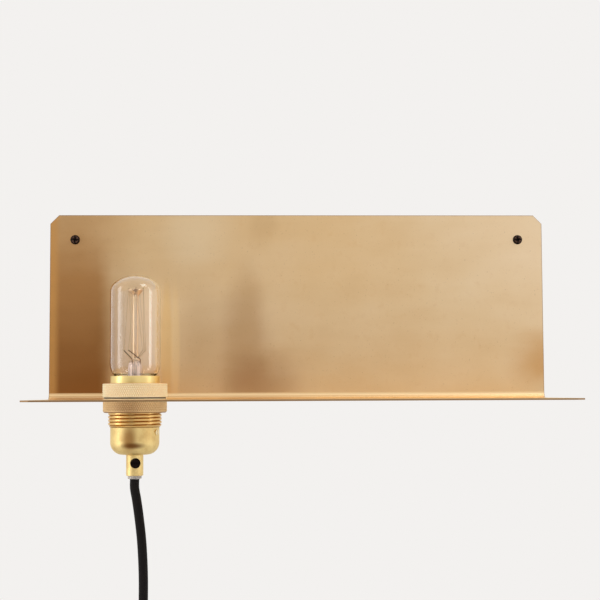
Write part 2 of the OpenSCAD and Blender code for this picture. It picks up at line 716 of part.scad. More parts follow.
// Insulated cores from the jacket's end to the terminals, each with a bare end
core_rise = block_top - 7;
core_ring = 1.6;
module live_core() color("#6b3f25") at_holder() {
    a = polar(core_ring, 210, entry_top);
    core([a, [a.x, a.y, core_rise], [-2.2, -0.3, wire_z - 1.6], [-3.2, 0, wire_z],
        [live_x + block.x / 2 + fit, 0, wire_z]], [live_x - 1, 0, wire_z]);
}
module neutral_core() color("#3d5f93") at_holder() {
    a = polar(core_ring, 330, entry_top);
    core([a, [a.x, a.y, core_rise], [2.2, -0.3, wire_z - 1.6], [3.6, 0, wire_z],
        [neutral_x - block.x / 2 - fit, 0, wire_z]], [neutral_x + 1, 0, wire_z]);
}
module earth_core() color("#6f9140") at_holder() {
    top = cap_floor + tag_t + earth_block.z;
    y = earth_y + earth_wire_in;
    core([[0, core_ring, entry_top], [0, core_ring, top + 1], [0, 2 * core_ring, top + 2.8],
        [0, y - 1.6, top + 2.8], [0, y, top + 1.2], [0, y, top + fit]],
        [0, y, top - earth_wire_l]);
}

// ---- Bulb ----

crown_edge = 82;  // where the rounded shoulder runs into the shallow crown
crown_r = glass_r - glass_round * (1 - cos(crown_edge));
crown_h = crown_r / tan(crown_edge) / 2;
shoulder_z = glass_top - crown_h - glass_round * sin(crown_edge);
// Outline of the glass from the neck to the axis, drawn in by a wall
function glass_line(t) = concat([[neck_r - t, neck_bottom],
        [neck_r - t, lower_shoulder - flare_drop + t / 2]],
    arc([neck_r - t, lower_shoulder], glass_r - neck_r, lower_round - t, flare_edge, 0, 8),
    arc([glass_r - glass_round, shoulder_z], glass_round - t, glass_round - t, 0, crown_edge, 10),
    [for (i = [1:4]) let (r = crown_r * (1 - i / 4))
        [r, glass_top - t - crown_h * pow(r / crown_r, 2)]]);

module bulb_glass() color("#dfe6e6", 0.35) at_holder() rotate_extrude()
    polygon(concat(glass_line(0), reversed(glass_line(glass_t))));

// Thin pressed cap: screw thread, rim round the glass, and a taper to the insulator
function bulb_line(gap) = concat([[bulb_taper_r - gap, bulb_taper_z], [bulb_root_r - gap,
        bulb_thread_bottom]], ridges(shell_from, bulb_threads, bulb_root_r - gap,
        bulb_crest_r - gap, bulb_pitch), [[bulb_root_r - gap, bulb_thread_top + gap / 4],
        [bulb_rim_r - gap, bulb_thread_top + 0.3 + gap / 4], [bulb_rim_r - gap, bulb_rim_top]]);

module bulb_cap() color("#b9b6ad") at_holder() rotate_extrude()
    polygon(concat(bulb_line(0), reversed(bulb_line(shell_t))));

module bulb_insulator() color("#17151a") at_holder() rotate_extrude()
    polygon([[0, bulb_tip_top], [5.5, bulb_tip_top], [bulb_taper_r, bulb_taper_z], [0, bulb_taper_z]]);

module bulb_contact() color("#a8a69e") at_holder() rotate_extrude()
    polygon([[0, bulb_tip_z], [bulb_tip_r - 1.4, bulb_tip_z], [bulb_tip_r, bulb_tip_z + 0.8],
        [bulb_tip_r, bulb_tip_top], [0, bulb_tip_top]]);

// Glass stem: flare, tube, bead, rod and button
module bulb_stem() color("#dfe6e6", 0.5) at_holder() {
    rotate_extrude() polygon([[flare_r, neck_bottom + 0.2], [flare_r - 0.8, neck_bottom + 0.9],
        stem_neck, [stem_tube_r, stem_tube_from], [stem_tube_r, stem_tube_top],
        [3.2, stem_tube_top + 1.1], [0, stem_tube_top + 1.1], [0, stem_tube_top - 1.5],
        [stem_tube_r - stem_t, stem_tube_top - 2.5], [stem_tube_r - stem_t, stem_tube_from],
        stem_neck - [stem_t, 0.2], [flare_r - 0.9, neck_bottom + 0.2]]);
    translate([0, 0, bead_z]) sphere(r = bead_r);
    translate([0, 0, bead_z]) cylinder(h = rod_top - bead_z, r = rod_d / 2);
    translate([0, 0, button_z]) sphere(r = button_ball);
}

// Ends of the filament's strands: even ones low, odd ones high
function strand_turn(j) = first_strand + strand_step * j;
function strand_end(j) = j % 2 == 0 ? polar(low_hook_r, strand_turn(j), low_hook_z)
    : polar(top_hook_r, strand_turn(j), top_hook_z);

module bulb_leads() color("#8d8a84") at_holder() {
    bar([[-2, -4.2, stem_tube_top + 0.5], [-2, -4.2, bead_z + 2], strand_end(0)], lead_r);
    bar([[3.9, -2.6, stem_tube_top + 0.5], [4.1, -3.2, bead_z + 1.7], strand_end(strands)], lead_r);
}

module bulb_upper_hooks() color("#8d8a84") at_holder() for (j = [1:2:strands - 1])
    bar([polar(button_ball + 0.15, strand_turn(j), button_z), strand_end(j)], support_r);

module bulb_lower_hooks() color("#8d8a84") at_holder() for (j = [2:2:strands - 2]) {
    bead = [0, 0, bead_z];
    bar([bead + (bead_r + bite) * unit(strand_end(j) - bead), strand_end(j)], support_r);
}

// The filament runs over each high hook and under each low one
module bulb_filament() color("#5d5348") at_holder() tube([for (j = [0:strands])
    let (e = strand_end(j), up = [0, 0, (j % 2 == 0 ? -1 : 1) * (hook_gap + 0.1)],
        t = polar(0.5 * sign(strand_step), strand_turn(j) + 90, 0))
    each j == 0 || j == strands ? [e + [0, 0, lead_r + 0.25]] : [e - t + up, e + t + up]],
    filament_r, 6);

// ---- Cord ----

module cord_drop() color(black_plastic) tube([for (p = drop_route) mouth + p], cord_d / 2, drop_sides);
module cord_link() color(black_plastic) tube([for (p = link_route) link_start + p], cord_d / 2, drop_sides);
module cord_tail() color(black_plastic) tube([for (p = tail_route) tail_start + p], cord_d / 2, drop_sides);

// Centre line of the winding: each layer spirals in or out, and the cord climbs to the
// next layer in the half turn round each change of direction
function layer_radius(s) = let (k = floor(min(s / layer_turns, coil_layers - 0.001)),
        f = s - k * layer_turns)
    k % 2 == 0 ? coil_r - turn_pitch * f : coil_inner_r + turn_pitch * f;
function layer_y(s) = layer_pitch * (smooth((s / layer_turns - 1) * layer_turns / 0.5 + 0.5)
    + smooth((s / layer_turns - 2) * layer_turns / 0.5 + 0.5)
    + smooth((s / layer_turns - 3) * layer_turns / 0.5 + 0.5));
function coil_point(s) = let (a = start_angle - 360 * s, r = layer_radius(s))
    coil_centre + [r * cos(a), layer_y(s), r * sin(a)];
winding = [for (i = [0:floor(all_turns * coil_rings - 0.3)]) coil_point(i / coil_rings)];
coil_path = concat([link_end], winding, [coil_point(all_turns), tail_start]);
module cord_coil() color(black_plastic) {
    tube(coil_path, cord_d / 2, coil_sides);
    gap = min([for (i = [0:len(coil_path) - 1], j = [i + 4:1:len(coil_path) - 1])
        norm(coil_path[i] - coil_path[j])]) - cord_d;
    echo(least_gap_in_coil = gap);
}

// A flat tie round the bundle on its left side
module coil_tie() color("#2c2b2a") {
    near = [for (p = coil_path)
        if (p.x < coil_centre.x && abs(p.z - coil_centre.z) < tie_w / 2 + 3) coil_centre.x - p.x];
    side = cord_d / 2 + tie_gap;
    out = max(near) + side;
    in = min(near) - cord_d / 2 - tie_slack;
    translate([coil_centre.x - out, coil_centre.y - side, coil_centre.z - tie_w / 2]) difference() {
        translate([-tie_t, -tie_t, 0])
            cube([out - in + 2 * tie_t, coil_depth + 2 * (side + tie_t), tie_w]);
        translate([0, 0, -over]) cube([out - in, coil_depth + 2 * side, tie_w + 2 * over]);
    }
}

// ---- Switch ----

function case_outline(w, nose, slope, gap) = [[-nose, -gap], [nose, -gap], [w, -slope],
    [w, slope - switch_l], [nose, gap - switch_l], [-nose, gap - switch_l], [-w, slope - switch_l],
    [-w, -slope]];
// A shape drawn in x and z, made solid from y = 0 towards the back
module backwards(depth) out_of_wall() translate([0, 0, -depth]) linear_extrude(depth) children();
// The back half of the case as a solid block with bevelled edges
module half_case() intersection() {
    w = switch_w / 2;
    h = switch_half;
    b = case_bevel;
    backwards(h) polygon(case_outline(w, nose_w / 2, case_slope, 0));
    translate([0, 0, -switch_l]) linear_extrude(switch_l)
        polygon([[-w, 0], [-w, h - b], [-w + b, h], [w - b, h], [w, h - b], [w, 0]]);
    rotate([90, 0, 90]) linear_extrude(2 * w, center = true)
        polygon([[0, 0], [h - b, 0], [h, -case_end_bevel], [h, case_end_bevel - switch_l],
            [h - b, -switch_l], [0, -switch_l]]);
}
module half_shell() difference() {
    half_case();
    translate([0, -over, 0]) backwards(inner_half + over)
        polygon(case_outline(inner_w, nose_w / 2 - 0.3, case_slope + 0.5, end_wall));
}
module cord_channels() for (z = [-end_wall - over, -switch_l - over])
    translate([0, 0, z]) cylinder(h = end_wall + 2 * over, r = bore_r);

module switch_back_shell() color(black_plastic) at_switch() difference() {
    union() {
        half_shell();
        for (x = [-clamp_x, clamp_x], z = [-clamp_z, clamp_z - switch_l])
            translate([x, fit - clamp_face, z]) back_to_wall()
                cylinder(h = inner_half + clamp_face - fit + sunk, r = clamp_post_r);
        for (b = bosses) translate([b.x, 0, b.y]) back_to_wall()
            cylinder(h = inner_half + sunk, r = boss_r);
    }
    cord_channels();
    for (x = [-clamp_x, clamp_x], z = [-clamp_z, clamp_z - switch_l])
        translate([x, -clamp_face - over, z]) back_to_wall()
            cylinder(h = clamp_screw_in + 2 * over, r = clamp_screw_r + 0.05);
    for (b = bosses) translate([b.x, 0, b.y]) back_to_wall() {
        translate([0, 0, -over]) cylinder(h = switch_half + 2 * over, r = case_screw_r + 0.15);
        translate([0, 0, switch_half - case_head_in]) cylinder(h = 3, r = case_head_r + 0.1);
    }
}

module switch_front_shell() color(black_plastic) at_switch() difference() {
    union() {
        difference() {
            rotate([0, 0, 180]) half_shell();
            translate([-window.x / 2, -switch_half - over, pivot_z - window.y / 2])
                cube([window.x, switch_wall + 2 * over, window.y]);
        }
        for (x = [-ear_x - ear.x, ear_x]) translate([x, -inner_half - sunk, pivot_z - ear.z / 2])
            cube([ear.x, inner_half + pivot_y + ear_rise + sunk, ear.z]);
        for (b = bosses) translate([b.x, 0, b.y]) out_of_wall()
            cylinder(h = inner_half + sunk, r = boss_r);
    }
    cord_channels();
    translate([0, pivot_y, pivot_z]) rotate([0, 90, 0])
        cylinder(h = 2 * (ear_x + ear.x + over), r = pin_d / 2 + 0.05, center = true);
    for (b = bosses) translate([b.x, over, b.y]) out_of_wall()
        cylinder(h = case_screw_in + 0.5 + over, r = case_screw_r + 0.05);
}

module at_rocker() at_switch() translate([0, pivot_y, pivot_z]) children();
module switch_rocker() color(black_plastic) at_rocker() rotate([-rocker_tilt, 0, 0]) difference() {
    e = rocker_l / 2;
    half = [[e, rocker_end[0]], [e, rocker_end[1]], [6, -1.2], [2.2, -rocker_foot]];
    line = concat([[0, rocker_dip]], half, reversed([for (p = half) [-p.x, p.y]]));
    rotate([90, 0, 90]) linear_extrude(rocker_w, center = true)
        polygon([for (p = line) [-p.y, p.x]]);
    rotate([0, 90, 0]) cylinder(h = rocker_w + 2 * over, r = pin_d / 2 + 0.06, center = true);
}
module rocker_pin() color(bright_brass) at_rocker() rotate([0, 90, 0])
    cylinder(h = 2 * (ear_x + ear.x), r = pin_d / 2, center = true);
// Metal strip under the rocker that joins the two contacts
module contact_bridge() color(bright_brass) at_rocker() rotate([-rocker_tilt, 0, 0])
    translate([-bridge_w / 2, rocker_foot + bite, -throw - 1])
        cube([bridge_w, bridge_t, 2 * (throw + 1)]);

// Where the strip passes the middle and the upper contact with the rocker at rest
middle_post_y = pivot_y + (bridge_face + post_r * sin(rocker_tilt)) / cos(rocker_tilt) + post_gap;
upper_post_y = pivot_y + (bridge_face + (throw + 1) * sin(rocker_tilt)) / cos(rocker_tilt)
    + post_gap;
module switch_contacts() color(bright_brass) at_switch() {
    contact_block(upper_block, pivot_z + throw, upper_post_y, -wire_x, upper_screw_z, 1);
    contact_block(middle_block, pivot_z, middle_post_y, wire_x, middle_screw_z, -1);
}
// A block from its bottom and height, with its post and the holes for a conductor and a screw
module contact_block(span, post_z, post_y, x, screw_z, side) difference() {
    union() {
        translate([-block_w / 2, block_y, span[0]]) cube([block_w, inner_half - block_y, span[1]]);
        translate([0, post_y, post_z]) back_to_wall() cylinder(h = block_y - post_y + sunk, r = post_r);
    }
    translate([x, wire_y, side > 0 ? span[0] + span[1] - wire_depth : span[0] - over])
        cylinder(h = wire_depth + over, r = wire_hole_r);
    translate([x, block_y - over, screw_z]) back_to_wall()
        cylinder(h = wire_y - block_y + over, r = small_screw_r + 0.05);
}
module contact_screws() color(dark_steel) at_switch()
    for (p = [[-wire_x, upper_screw_z], [wire_x, middle_screw_z]])
        translate([p.x, block_y, p.y]) out_of_wall()
            screw(small_screw_r, wire_y - block_y - wire_d / 2 - bite, contact_head.x, contact_head.y);

module cord_clamps() color(dark_steel) at_switch() for (z = [-clamp_z, clamp_z - switch_l])
    difference() {
        translate([-clamp_l / 2, -clamp_face - clamp_t, z - clamp_w / 2])
            cube([clamp_l, clamp_t, clamp_w]);
        for (x = [-clamp_x, clamp_x]) translate([x, over, z]) out_of_wall()
            cylinder(h = clamp_face + clamp_t + 2 * over, r = clamp_screw_r + 0.15);
    }
module clamp_screws() color(dark_steel) at_switch()
    for (x = [-clamp_x, clamp_x], z = [-clamp_z, clamp_z - switch_l])
        translate([x, -clamp_face - clamp_t, z]) out_of_wall()
            screw(clamp_screw_r, clamp_t + clamp_screw_in, clamp_head.x, clamp_head.y);

// Cores between the two cord ends: the switched one in two pieces, the others straight through
module switch_cores() color("#5a5148") at_switch() {
    low = -switch_l;
    d = clamp_depth;
    s = polar(core_ring, 210, 0);
    block_in = upper_block[0] + upper_block[1] + fit;
    block_out = middle_block[0] - fit;
    core([[0, core_ring, -d], [0, core_ring, -d - 1.5], [-wire_x, wire_y, block_in + 3.4],
        [-wire_x, wire_y, block_in]], [-wire_x, wire_y, block_in - 4.5]);
    core([[0, core_ring, low + d], [0, core_ring, low + d + 3], [wire_x, wire_y, block_out - 3.4],
        [wire_x, wire_y, block_out]], [wire_x, wire_y, block_out + 4]);
    core([[s.x, s.y, -d], [s.x, s.y, -d - 1.5], [core_x, 0, -d - 8], [core_x, 0, pivot_z - 7],
        [-3.4, -1, pivot_z - 13.5], [-3.4, -1, pivot_z - 17], [s.x, s.y, low + d + 2],
        [s.x, s.y, low + d]]);
    core([[-s.x, s.y, -d], [-s.x, s.y, -d - 1.5], [3.6, 0, -d - 7], [earth_core_x, 0, pivot_z + 10],
        [earth_core_x, 0, pivot_z - 12], [-s.x, s.y, low + d + 1.5], [-s.x, s.y, low + d]]);
}
module switch_screws() color(dark_steel) at_switch() for (b = bosses)
    translate([b.x, switch_half - case_head_in, b.y]) back_to_wall()
        screw(case_screw_r, switch_half - case_head_in + case_screw_in, case_head_r, case_head_h);

// ---- Plug ----

module plug_relief() color(black_plastic) at_plug() rotate_extrude() {
    n = relief_ribs;
    step = relief_l / n;
    ribs = [for (i = [0:n - 1]) let (r = relief_r + relief_grow * (i + 1) / n, root = r - rib_depth)
        each [[r, -step * (i + 0.1)], [r, -step * (i + 0.6)], [root, -step * (i + 0.7)],
            [root, -step * (i + 1)]]];
    polygon(concat([[0, 0], [relief_r, 0]], ribs, [[0, -relief_l]]));
}

plug_r = plug_d / 2;
plug_face = -relief_l - plug_l;
module plug_body() color(black_plastic) at_plug() difference() {
    rotate_extrude() polygon(concat([[0, -relief_l], [plug_neck_r, -relief_l],
        [plug_neck_r + 0.6, -relief_l - 3]],
        arc([plug_neck_r + 2, -relief_l - plug_shoulder], plug_r - plug_neck_r - 3.5,
            plug_shoulder - 4, 70, 0, 6),
        [[plug_r, -relief_l - plug_shoulder - 4], [plug_r, plug_face + plug_ease],
        [plug_r - plug_ease, plug_face], [0, plug_face]]));
    for (s = [-1, 1]) {
        translate([s * plug_pin_gap / 2, 0, plug_face - over])
            cylinder(h = pin_embed + over, r = plug_pin_d / 2 - pin_step + 0.02);
        translate([-clip_w / 2 - fit, s > 0 ? plug_r - clip_slot : -plug_r - over, plug_face - over])
            cube([clip_w + 2 * fit, clip_slot + over, clip_l + over]);
    }
    translate([0, earth_hole_y, plug_face - over])
        cylinder(h = earth_hole_l + over, r = socket_r + fit);
}
module plug_pins() color("#c9c7c0") at_plug() for (s = [-1, 1])
    translate([s * plug_pin_gap / 2, 0, plug_face - plug_pin_l]) rotate_extrude() {
        r = plug_pin_d / 2;
        polygon([[0, 0], [0.55 * r, 0.15 * r], [0.85 * r, 0.5 * r], [r, r], [r, plug_pin_l],
            [r - pin_step, plug_pin_l], [r - pin_step, plug_pin_l + pin_embed - 0.1],
            [0, plug_pin_l + pin_embed - 0.1]]);
    }
module plug_earth_clips() color("#c9c7c0") at_plug() for (s = [-1, 1])
    translate([-clip_w / 2, s * (plug_r - clip_slot + bite + clip_t / 2) - clip_t / 2, plug_face + 0.5])
        cube([clip_w, clip_t, clip_l - 0.6]);
module plug_earth_socket() color("#c9c7c0") at_plug()
    translate([0, earth_hole_y, plug_face + socket_in]) difference() {
        cylinder(h = socket_l, r = socket_r);
        translate([0, 0, -over]) cylinder(h = socket_depth + over, r = socket_bore);
    }

shelf_bracket();
wall_screws();
holder_skirt();
holder_cap();
cap_lock_screw();
upper_ring();
lower_ring();
ceramic_insert();
screw_shell();
shell_screws();
shell_nut();
centre_contact();
contact_screw();
terminal_blocks();
terminal_screws();
earth_tag();
earth_screw();
grip_nut();
cord_grip();
grip_screw();
grip_collar();
cord_entry();
live_core();
neutral_core();
earth_core();
bulb_glass();
bulb_cap();
bulb_insulator();
bulb_contact();
bulb_stem();
bulb_leads();
bulb_upper_hooks();
bulb_lower_hooks();
bulb_filament();
cord_drop();
switch_back_shell();
switch_front_shell();
switch_rocker();
rocker_pin();
contact_bridge();
switch_contacts();
contact_screws();
cord_clamps();
clamp_screws();
switch_cores();
switch_screws();
cord_link();
cord_coil();
coil_tie();
cord_tail();
plug_relief();
plug_body();
plug_pins();
plug_earth_clips();
plug_earth_socket();
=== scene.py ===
"""Looks of the wall lamp with shelf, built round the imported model. Its lengths are in mm."""

import json
import math

import bmesh
import bpy
from mathutils import Matrix, Vector


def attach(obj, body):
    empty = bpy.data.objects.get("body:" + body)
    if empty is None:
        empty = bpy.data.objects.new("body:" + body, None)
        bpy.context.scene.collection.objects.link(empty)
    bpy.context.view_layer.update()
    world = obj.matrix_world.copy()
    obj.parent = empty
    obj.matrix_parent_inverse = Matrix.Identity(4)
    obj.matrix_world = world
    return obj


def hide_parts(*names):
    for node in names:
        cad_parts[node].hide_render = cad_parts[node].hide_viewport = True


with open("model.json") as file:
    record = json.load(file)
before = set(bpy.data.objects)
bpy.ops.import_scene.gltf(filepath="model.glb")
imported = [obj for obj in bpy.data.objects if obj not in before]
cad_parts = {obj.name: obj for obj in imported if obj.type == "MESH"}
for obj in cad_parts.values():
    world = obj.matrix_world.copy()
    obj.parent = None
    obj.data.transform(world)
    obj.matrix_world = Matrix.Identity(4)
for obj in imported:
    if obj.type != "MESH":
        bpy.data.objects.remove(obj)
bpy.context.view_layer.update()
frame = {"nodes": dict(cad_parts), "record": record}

MM = 0.001
FULL_TURN = 2 * math.pi

# Bracket
HALF_WIDTH = 200
TOP_Z = 20
SHELF_BOTTOM = -130
SHEET = 1.2
SHELF_TOP = SHELF_BOTTOM + SHEET
SHELF_FRONT = -140
FOLD_R = 5
FOLD_TOP = SHELF_TOP + FOLD_R
CORNER_CUT = 7
SCREW_X = 180
SCREW_HOLE_R = 2.35

# Lampholder; its heights are counted from the shelf's top
HOLDER = (-125, -70, SHELF_TOP)
CREST_R = 19.9
ROOT_R = 18.65
SKIRT_R = 17.3
SKIRT_BOTTOM = -20.5
RIM_TOP = 17.7
PITCH = 2.5
RIDGES = 13
UPPER_RING_R = 24.3
UPPER_RING_H = 12.2
GROOVE_LOW = 0.75
GROOVE_HIGH = 1.75
LOWER_RING_R = 24
LOWER_RING_H = 8.6
RING_GAP = 0.08
KNURLS = 96
KNURL_DEPTH = 0.5
CAP_R = 18.3
CAP_BOTTOM = -41
CAP_ROUND = 9
MOUTH_Z = -59.1

# Bulb; its heights are counted from there too
GLASS_R = 19
GLASS_TOP = 93.7
GLASS_WALL = 0.8

# Cord
CORD_D = 7
BRAID_CELLS = 16
COIL_LAYERS = 4
COIL_R = 47.3
TURN_PITCH = 7.6
COIL_TURNS = 9
COIL_LEAD = 7
TAIL_L = 17
SWITCH_L = 64
CLAMP_DEPTH = 9

# Points nearer than this are one point, and a point this near to a limit lies on it
SAME_POINT = 0.002
NEAR = 0.01


# ---- Camera ----

LENS = 79.0
SENSOR_WIDTH = 36.0
CAMERA_PLACE = (-35.8, -1065.7, -124.4)
CAMERA_YAW = 2.020
CAMERA_PITCH = 4.041
CAMERA_ROLL = -0.240


def place_camera():
    """The photograph's camera: about level with the shelf, looking a little up and to the right."""
    yaw, pitch, roll = (math.radians(a) for a in (CAMERA_YAW, CAMERA_PITCH, CAMERA_ROLL))
    ahead = Vector((math.sin(yaw) * math.cos(pitch), math.cos(yaw) * math.cos(pitch), math.sin(pitch)))
    level = Vector((math.cos(yaw), -math.sin(yaw), 0))
    above = level.cross(ahead)
    right = level * math.cos(roll) + above * math.sin(roll)
    up = right.cross(ahead)
    camera = bpy.data.objects.new("camera", bpy.data.cameras.new("camera"))
    bpy.context.scene.collection.objects.link(camera)
    camera.data.lens = LENS
    camera.data.sensor_width = SENSOR_WIDTH
    camera.data.clip_start = 10 * MM
    camera.data.clip_end = 50000 * MM
    turn = Matrix((right, up, -ahead)).transposed().to_4x4()
    camera.matrix_world = Matrix.Translation(Vector(CAMERA_PLACE) * MM) @ turn
    bpy.context.scene.camera = camera


# ---- Modelling tools ----

def deselect():
    """Leaves edit mode, with nothing selected."""
    if bpy.context.mode != "OBJECT":
        bpy.ops.object.mode_set(mode="OBJECT")
    bpy.ops.object.select_all(action="DESELECT")


def fresh(name):
    """Names the primitive that was just added."""
    piece = bpy.context.object
    piece.name = name
    piece.data.name = name
    return piece


def activate(piece):
    """Makes the piece the only one that operators act on."""
    deselect()
    piece.select_set(True)
    bpy.context.view_layer.objects.active = piece


def settle(piece):
    """Puts the piece's place into its mesh, so that its object sits at the origin."""
    activate(piece)
    bpy.ops.object.transform_apply(location=True, rotation=True, scale=True)
    return piece


def select_faces(test):
    """In edit mode, selects the faces whose middle and normal pass the test."""
    bpy.ops.mesh.select_all(action="DESELECT")
    bpy.ops.mesh.select_mode(type="FACE")
    mesh = bpy.context.object.data
    shape = bmesh.from_edit_mesh(mesh)
    for face in shape.faces:
        face.select = test(face.calc_center_median() / MM, face.normal)
    shape.select_flush_mode()
    bmesh.update_edit_mesh(mesh)


def select_edges(test):
    """In edit mode, selects the edges whose two ends pass the test."""
    bpy.ops.mesh.select_all(action="DESELECT")
    bpy.ops.mesh.select_mode(type="EDGE")
    mesh = bpy.context.object.data
    shape = bmesh.from_edit_mesh(mesh)
    for edge in shape.edges:
        edge.select = test(edge.verts[0].co / MM, edge.verts[1].co / MM)
    shape.select_flush_mode()
    bmesh.update_edit_mesh(mesh)


def modify(piece, kind, **settings):
    """Adds a modifier and applies it."""
    activate(piece)
    modifier = piece.modifiers.new(kind.lower(), kind)
    for key, value in settings.items():
        setattr(modifier, key, value)
    bpy.ops.object.modifier_apply(modifier=modifier.name)


def shade(piece, angle=30):
    """Smooth shading, with a crisp line where faces meet at more than the angle."""
    activate(piece)
    bpy.ops.object.shade_smooth_by_angle(angle=math.radians(angle))


def flatten(piece):
    """Keeps the shading of wide faces flat beside their narrow rounded edges."""
    modify(piece, "WEIGHTED_NORMAL", keep_sharp=True, weight=80)


def soften(piece, width, angle=35):
    """Rounds by a width in mm the edges that are sharper than the angle."""
    modify(piece, "BEVEL", width=width * MM, segments=2, limit_method="ANGLE",
           angle_limit=math.radians(angle), use_clamp_overlap=True, miter_outer="MITER_ARC")


def mend(piece):
    """Takes out the slivers that a bevel leaves where it meets a narrow face."""
    activate(piece)
    bpy.ops.object.mode_set(mode="EDIT")
    bpy.ops.mesh.select_all(action="SELECT")
    sliver = SAME_POINT / 2 * MM
    bpy.ops.mesh.remove_doubles(threshold=sliver)
    bpy.ops.mesh.dissolve_degenerate(threshold=sliver)
    bpy.ops.object.mode_set(mode="OBJECT")


def turned(name, outline, steps):
    """A piece turned on the holder's axis: a closed outline, as radius and height, spun round."""
    deselect()
    first_r, first_z = outline[0]
    start = Vector((HOLDER[0] + first_r, HOLDER[1], HOLDER[2] + first_z)) * MM
    bpy.ops.mesh.primitive_plane_add(size=MM, location=start)
    piece = fresh(name)
    settle(piece)
    bpy.ops.object.mode_set(mode="EDIT")
    bpy.ops.mesh.select_mode(type="VERT")
    bpy.ops.mesh.select_all(action="SELECT")
    bpy.ops.mesh.merge(type="CENTER")
    for here, there in zip(outline, outline[1:] + outline[:1]):
        step = ((there[0] - here[0]) * MM, 0, (there[1] - here[1]) * MM)
        bpy.ops.mesh.extrude_vertices_move(TRANSFORM_OT_translate={"value": step})
    bpy.ops.mesh.select_all(action="SELECT")
    bpy.ops.mesh.remove_doubles(threshold=SAME_POINT * MM)
    bpy.ops.mesh.spin(steps=steps, angle=FULL_TURN, center=Vector(HOLDER) * MM, axis=(0, 0, 1))
    bpy.ops.mesh.select_all(action="SELECT")
    bpy.ops.mesh.remove_doubles(threshold=SAME_POINT * MM)
    bpy.ops.mesh.delete_loose()
    bpy.ops.mesh.select_all(action="SELECT")
    bpy.ops.mesh.normals_make_consistent(inside=False)
    bpy.ops.object.mode_set(mode="OBJECT")
    return piece


def arc(middle, half_width, half_height, first, last, steps):
    """Points of a round or oval arc, as radius and height, between two angles in degrees."""
    points = []
    for i in range(steps + 1):
        angle = math.radians(first + (last - first) * i / steps)
        points.append((middle[0] + half_width * math.cos(angle),
                       middle[1] + half_height * math.sin(angle)))
    return points


def press(piece, rule):
    """Moves each point of a turned piece out or in, to the radius that the rule gives it.

    The rule takes the point's radius, its turn round the axis from -0.5 to 0.5, and its height.
    """
    for vertex in piece.data.vertices:
        x, y, z = (vertex.co[i] / MM - HOLDER[i] for i in range(3))
        radius = math.hypot(x, y)
        change = rule(radius, math.atan2(y, x) / FULL_TURN, z) / radius - 1
        vertex.co.x += x * change * MM
        vertex.co.y += y * change * MM


def refined(name, node, bevel):
    """A copy of a CAD node with whole flat faces, smooth curves and, for a bevel, soft edges."""
    deselect()
    piece = bpy.data.objects.new(name, frame["nodes"][node].data.copy())
    bpy.context.scene.collection.objects.link(piece)
    piece.data.name = name
    activate(piece)
    bpy.ops.object.mode_set(mode="EDIT")
    bpy.ops.mesh.select_all(action="SELECT")
    bpy.ops.mesh.remove_doubles(threshold=SAME_POINT * MM)
    bpy.ops.mesh.dissolve_limited(angle_limit=math.radians(0.5))
    bpy.ops.object.mode_set(mode="OBJECT")
    if bevel:
        soften(piece, bevel)
        mend(piece)
    shade(piece)
    if bevel:
        flatten(piece)
    return piece


def keep(piece, body, slot, finish, *nodes):
    """Paints a piece, hides these CAD nodes and hangs the piece on its body."""
    piece.data.materials.clear()
    piece.data.materials.append(finish)
    if nodes:
        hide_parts(*nodes)
    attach(piece, body)
    return piece


# ---- Finishes ----

class Amount:
    """An output socket. Sums on it add Math nodes to its tree."""

    def __init__(self, tree, socket):
        self.tree = tree
        self.socket = socket

    def maths(self, operation, *values):
        return self.tree.node("ShaderNodeMath", {"operation": operation}, dict(enumerate(values)))

    def __add__(self, other):
        return self.maths("ADD", self, other)

    def __radd__(self, other):
        return self.maths("ADD", other, self)

    def __sub__(self, other):
        return self.maths("SUBTRACT", self, other)

    def __rsub__(self, other):
        return self.maths("SUBTRACT", other, self)

    def __mul__(self, other):
        return self.maths("MULTIPLY", self, other)

    def __rmul__(self, other):
        return self.maths("MULTIPLY", other, self)

    def __truediv__(self, other):
        return self.maths("DIVIDE", self, other)

    def __pow__(self, other):
        return self.maths("POWER", self, other)

    def __gt__(self, other):
        return self.maths("GREATER_THAN", self, other)

    def __lt__(self, other):
        return self.maths("LESS_THAN", self, other)

    def size(self):
        return self.maths("ABSOLUTE", self)

    def wave(self):
        return self.maths("SINE", self)

    def floor(self):
        return self.maths("FLOOR", self)

    def larger(self, other):
        return self.maths("MAXIMUM", self, other)

    def rise(self, low, high):
        """0 below low, 1 above high, and a soft step between them."""
        return self.tree.node("ShaderNodeMapRange", {"interpolation_type": "SMOOTHSTEP"},
                              {"Value": self, "From Min": low, "From Max": high})


class Nodes:
    """A tree of nodes, and the one way to add to it."""

    def __init__(self, tree):
        self.nodes = tree.nodes
        self.links = tree.links

    def put(self, socket, value):
        """Links a socket to an amount, or sets it to a plain value."""
        if isinstance(value, Amount):
            self.links.new(value.socket, socket)
        elif isinstance(value, tuple) and len(value) == 3 and socket.type == "RGBA":
            socket.default_value = (*value, 1)
        else:
            socket.default_value = value

    def node(self, kind, settings=None, inputs=None, output=0):
        """Adds a node, sets it up, feeds it, and returns one of its outputs."""
        made = self.nodes.new(kind)
        for key, value in (settings or {}).items():
            if key == "stops":
                ramp = made.color_ramp
                while len(ramp.elements) < len(value):
                    ramp.elements.new(0.5)
                for element, (position, colour) in zip(ramp.elements, value):
                    element.position = position
                    element.color = (*colour, 1)
            else:
                setattr(made, key, value)
        for key, value in (inputs or {}).items():
            self.put(made.inputs[key], value)
        return Amount(self, made.outputs[output])

    def parts(self, vector):
        """The numbers that a vector is made of."""
        first = self.node("ShaderNodeSeparateXYZ", {}, {0: vector})
        return [Amount(self, out) for out in first.socket.node.outputs]

    def blend(self, mask, first, second):
        """The first shader where the mask is 0, and the second where it is 1."""
        return self.node("ShaderNodeMixShader", {}, {0: mask, 1: first, 2: second})


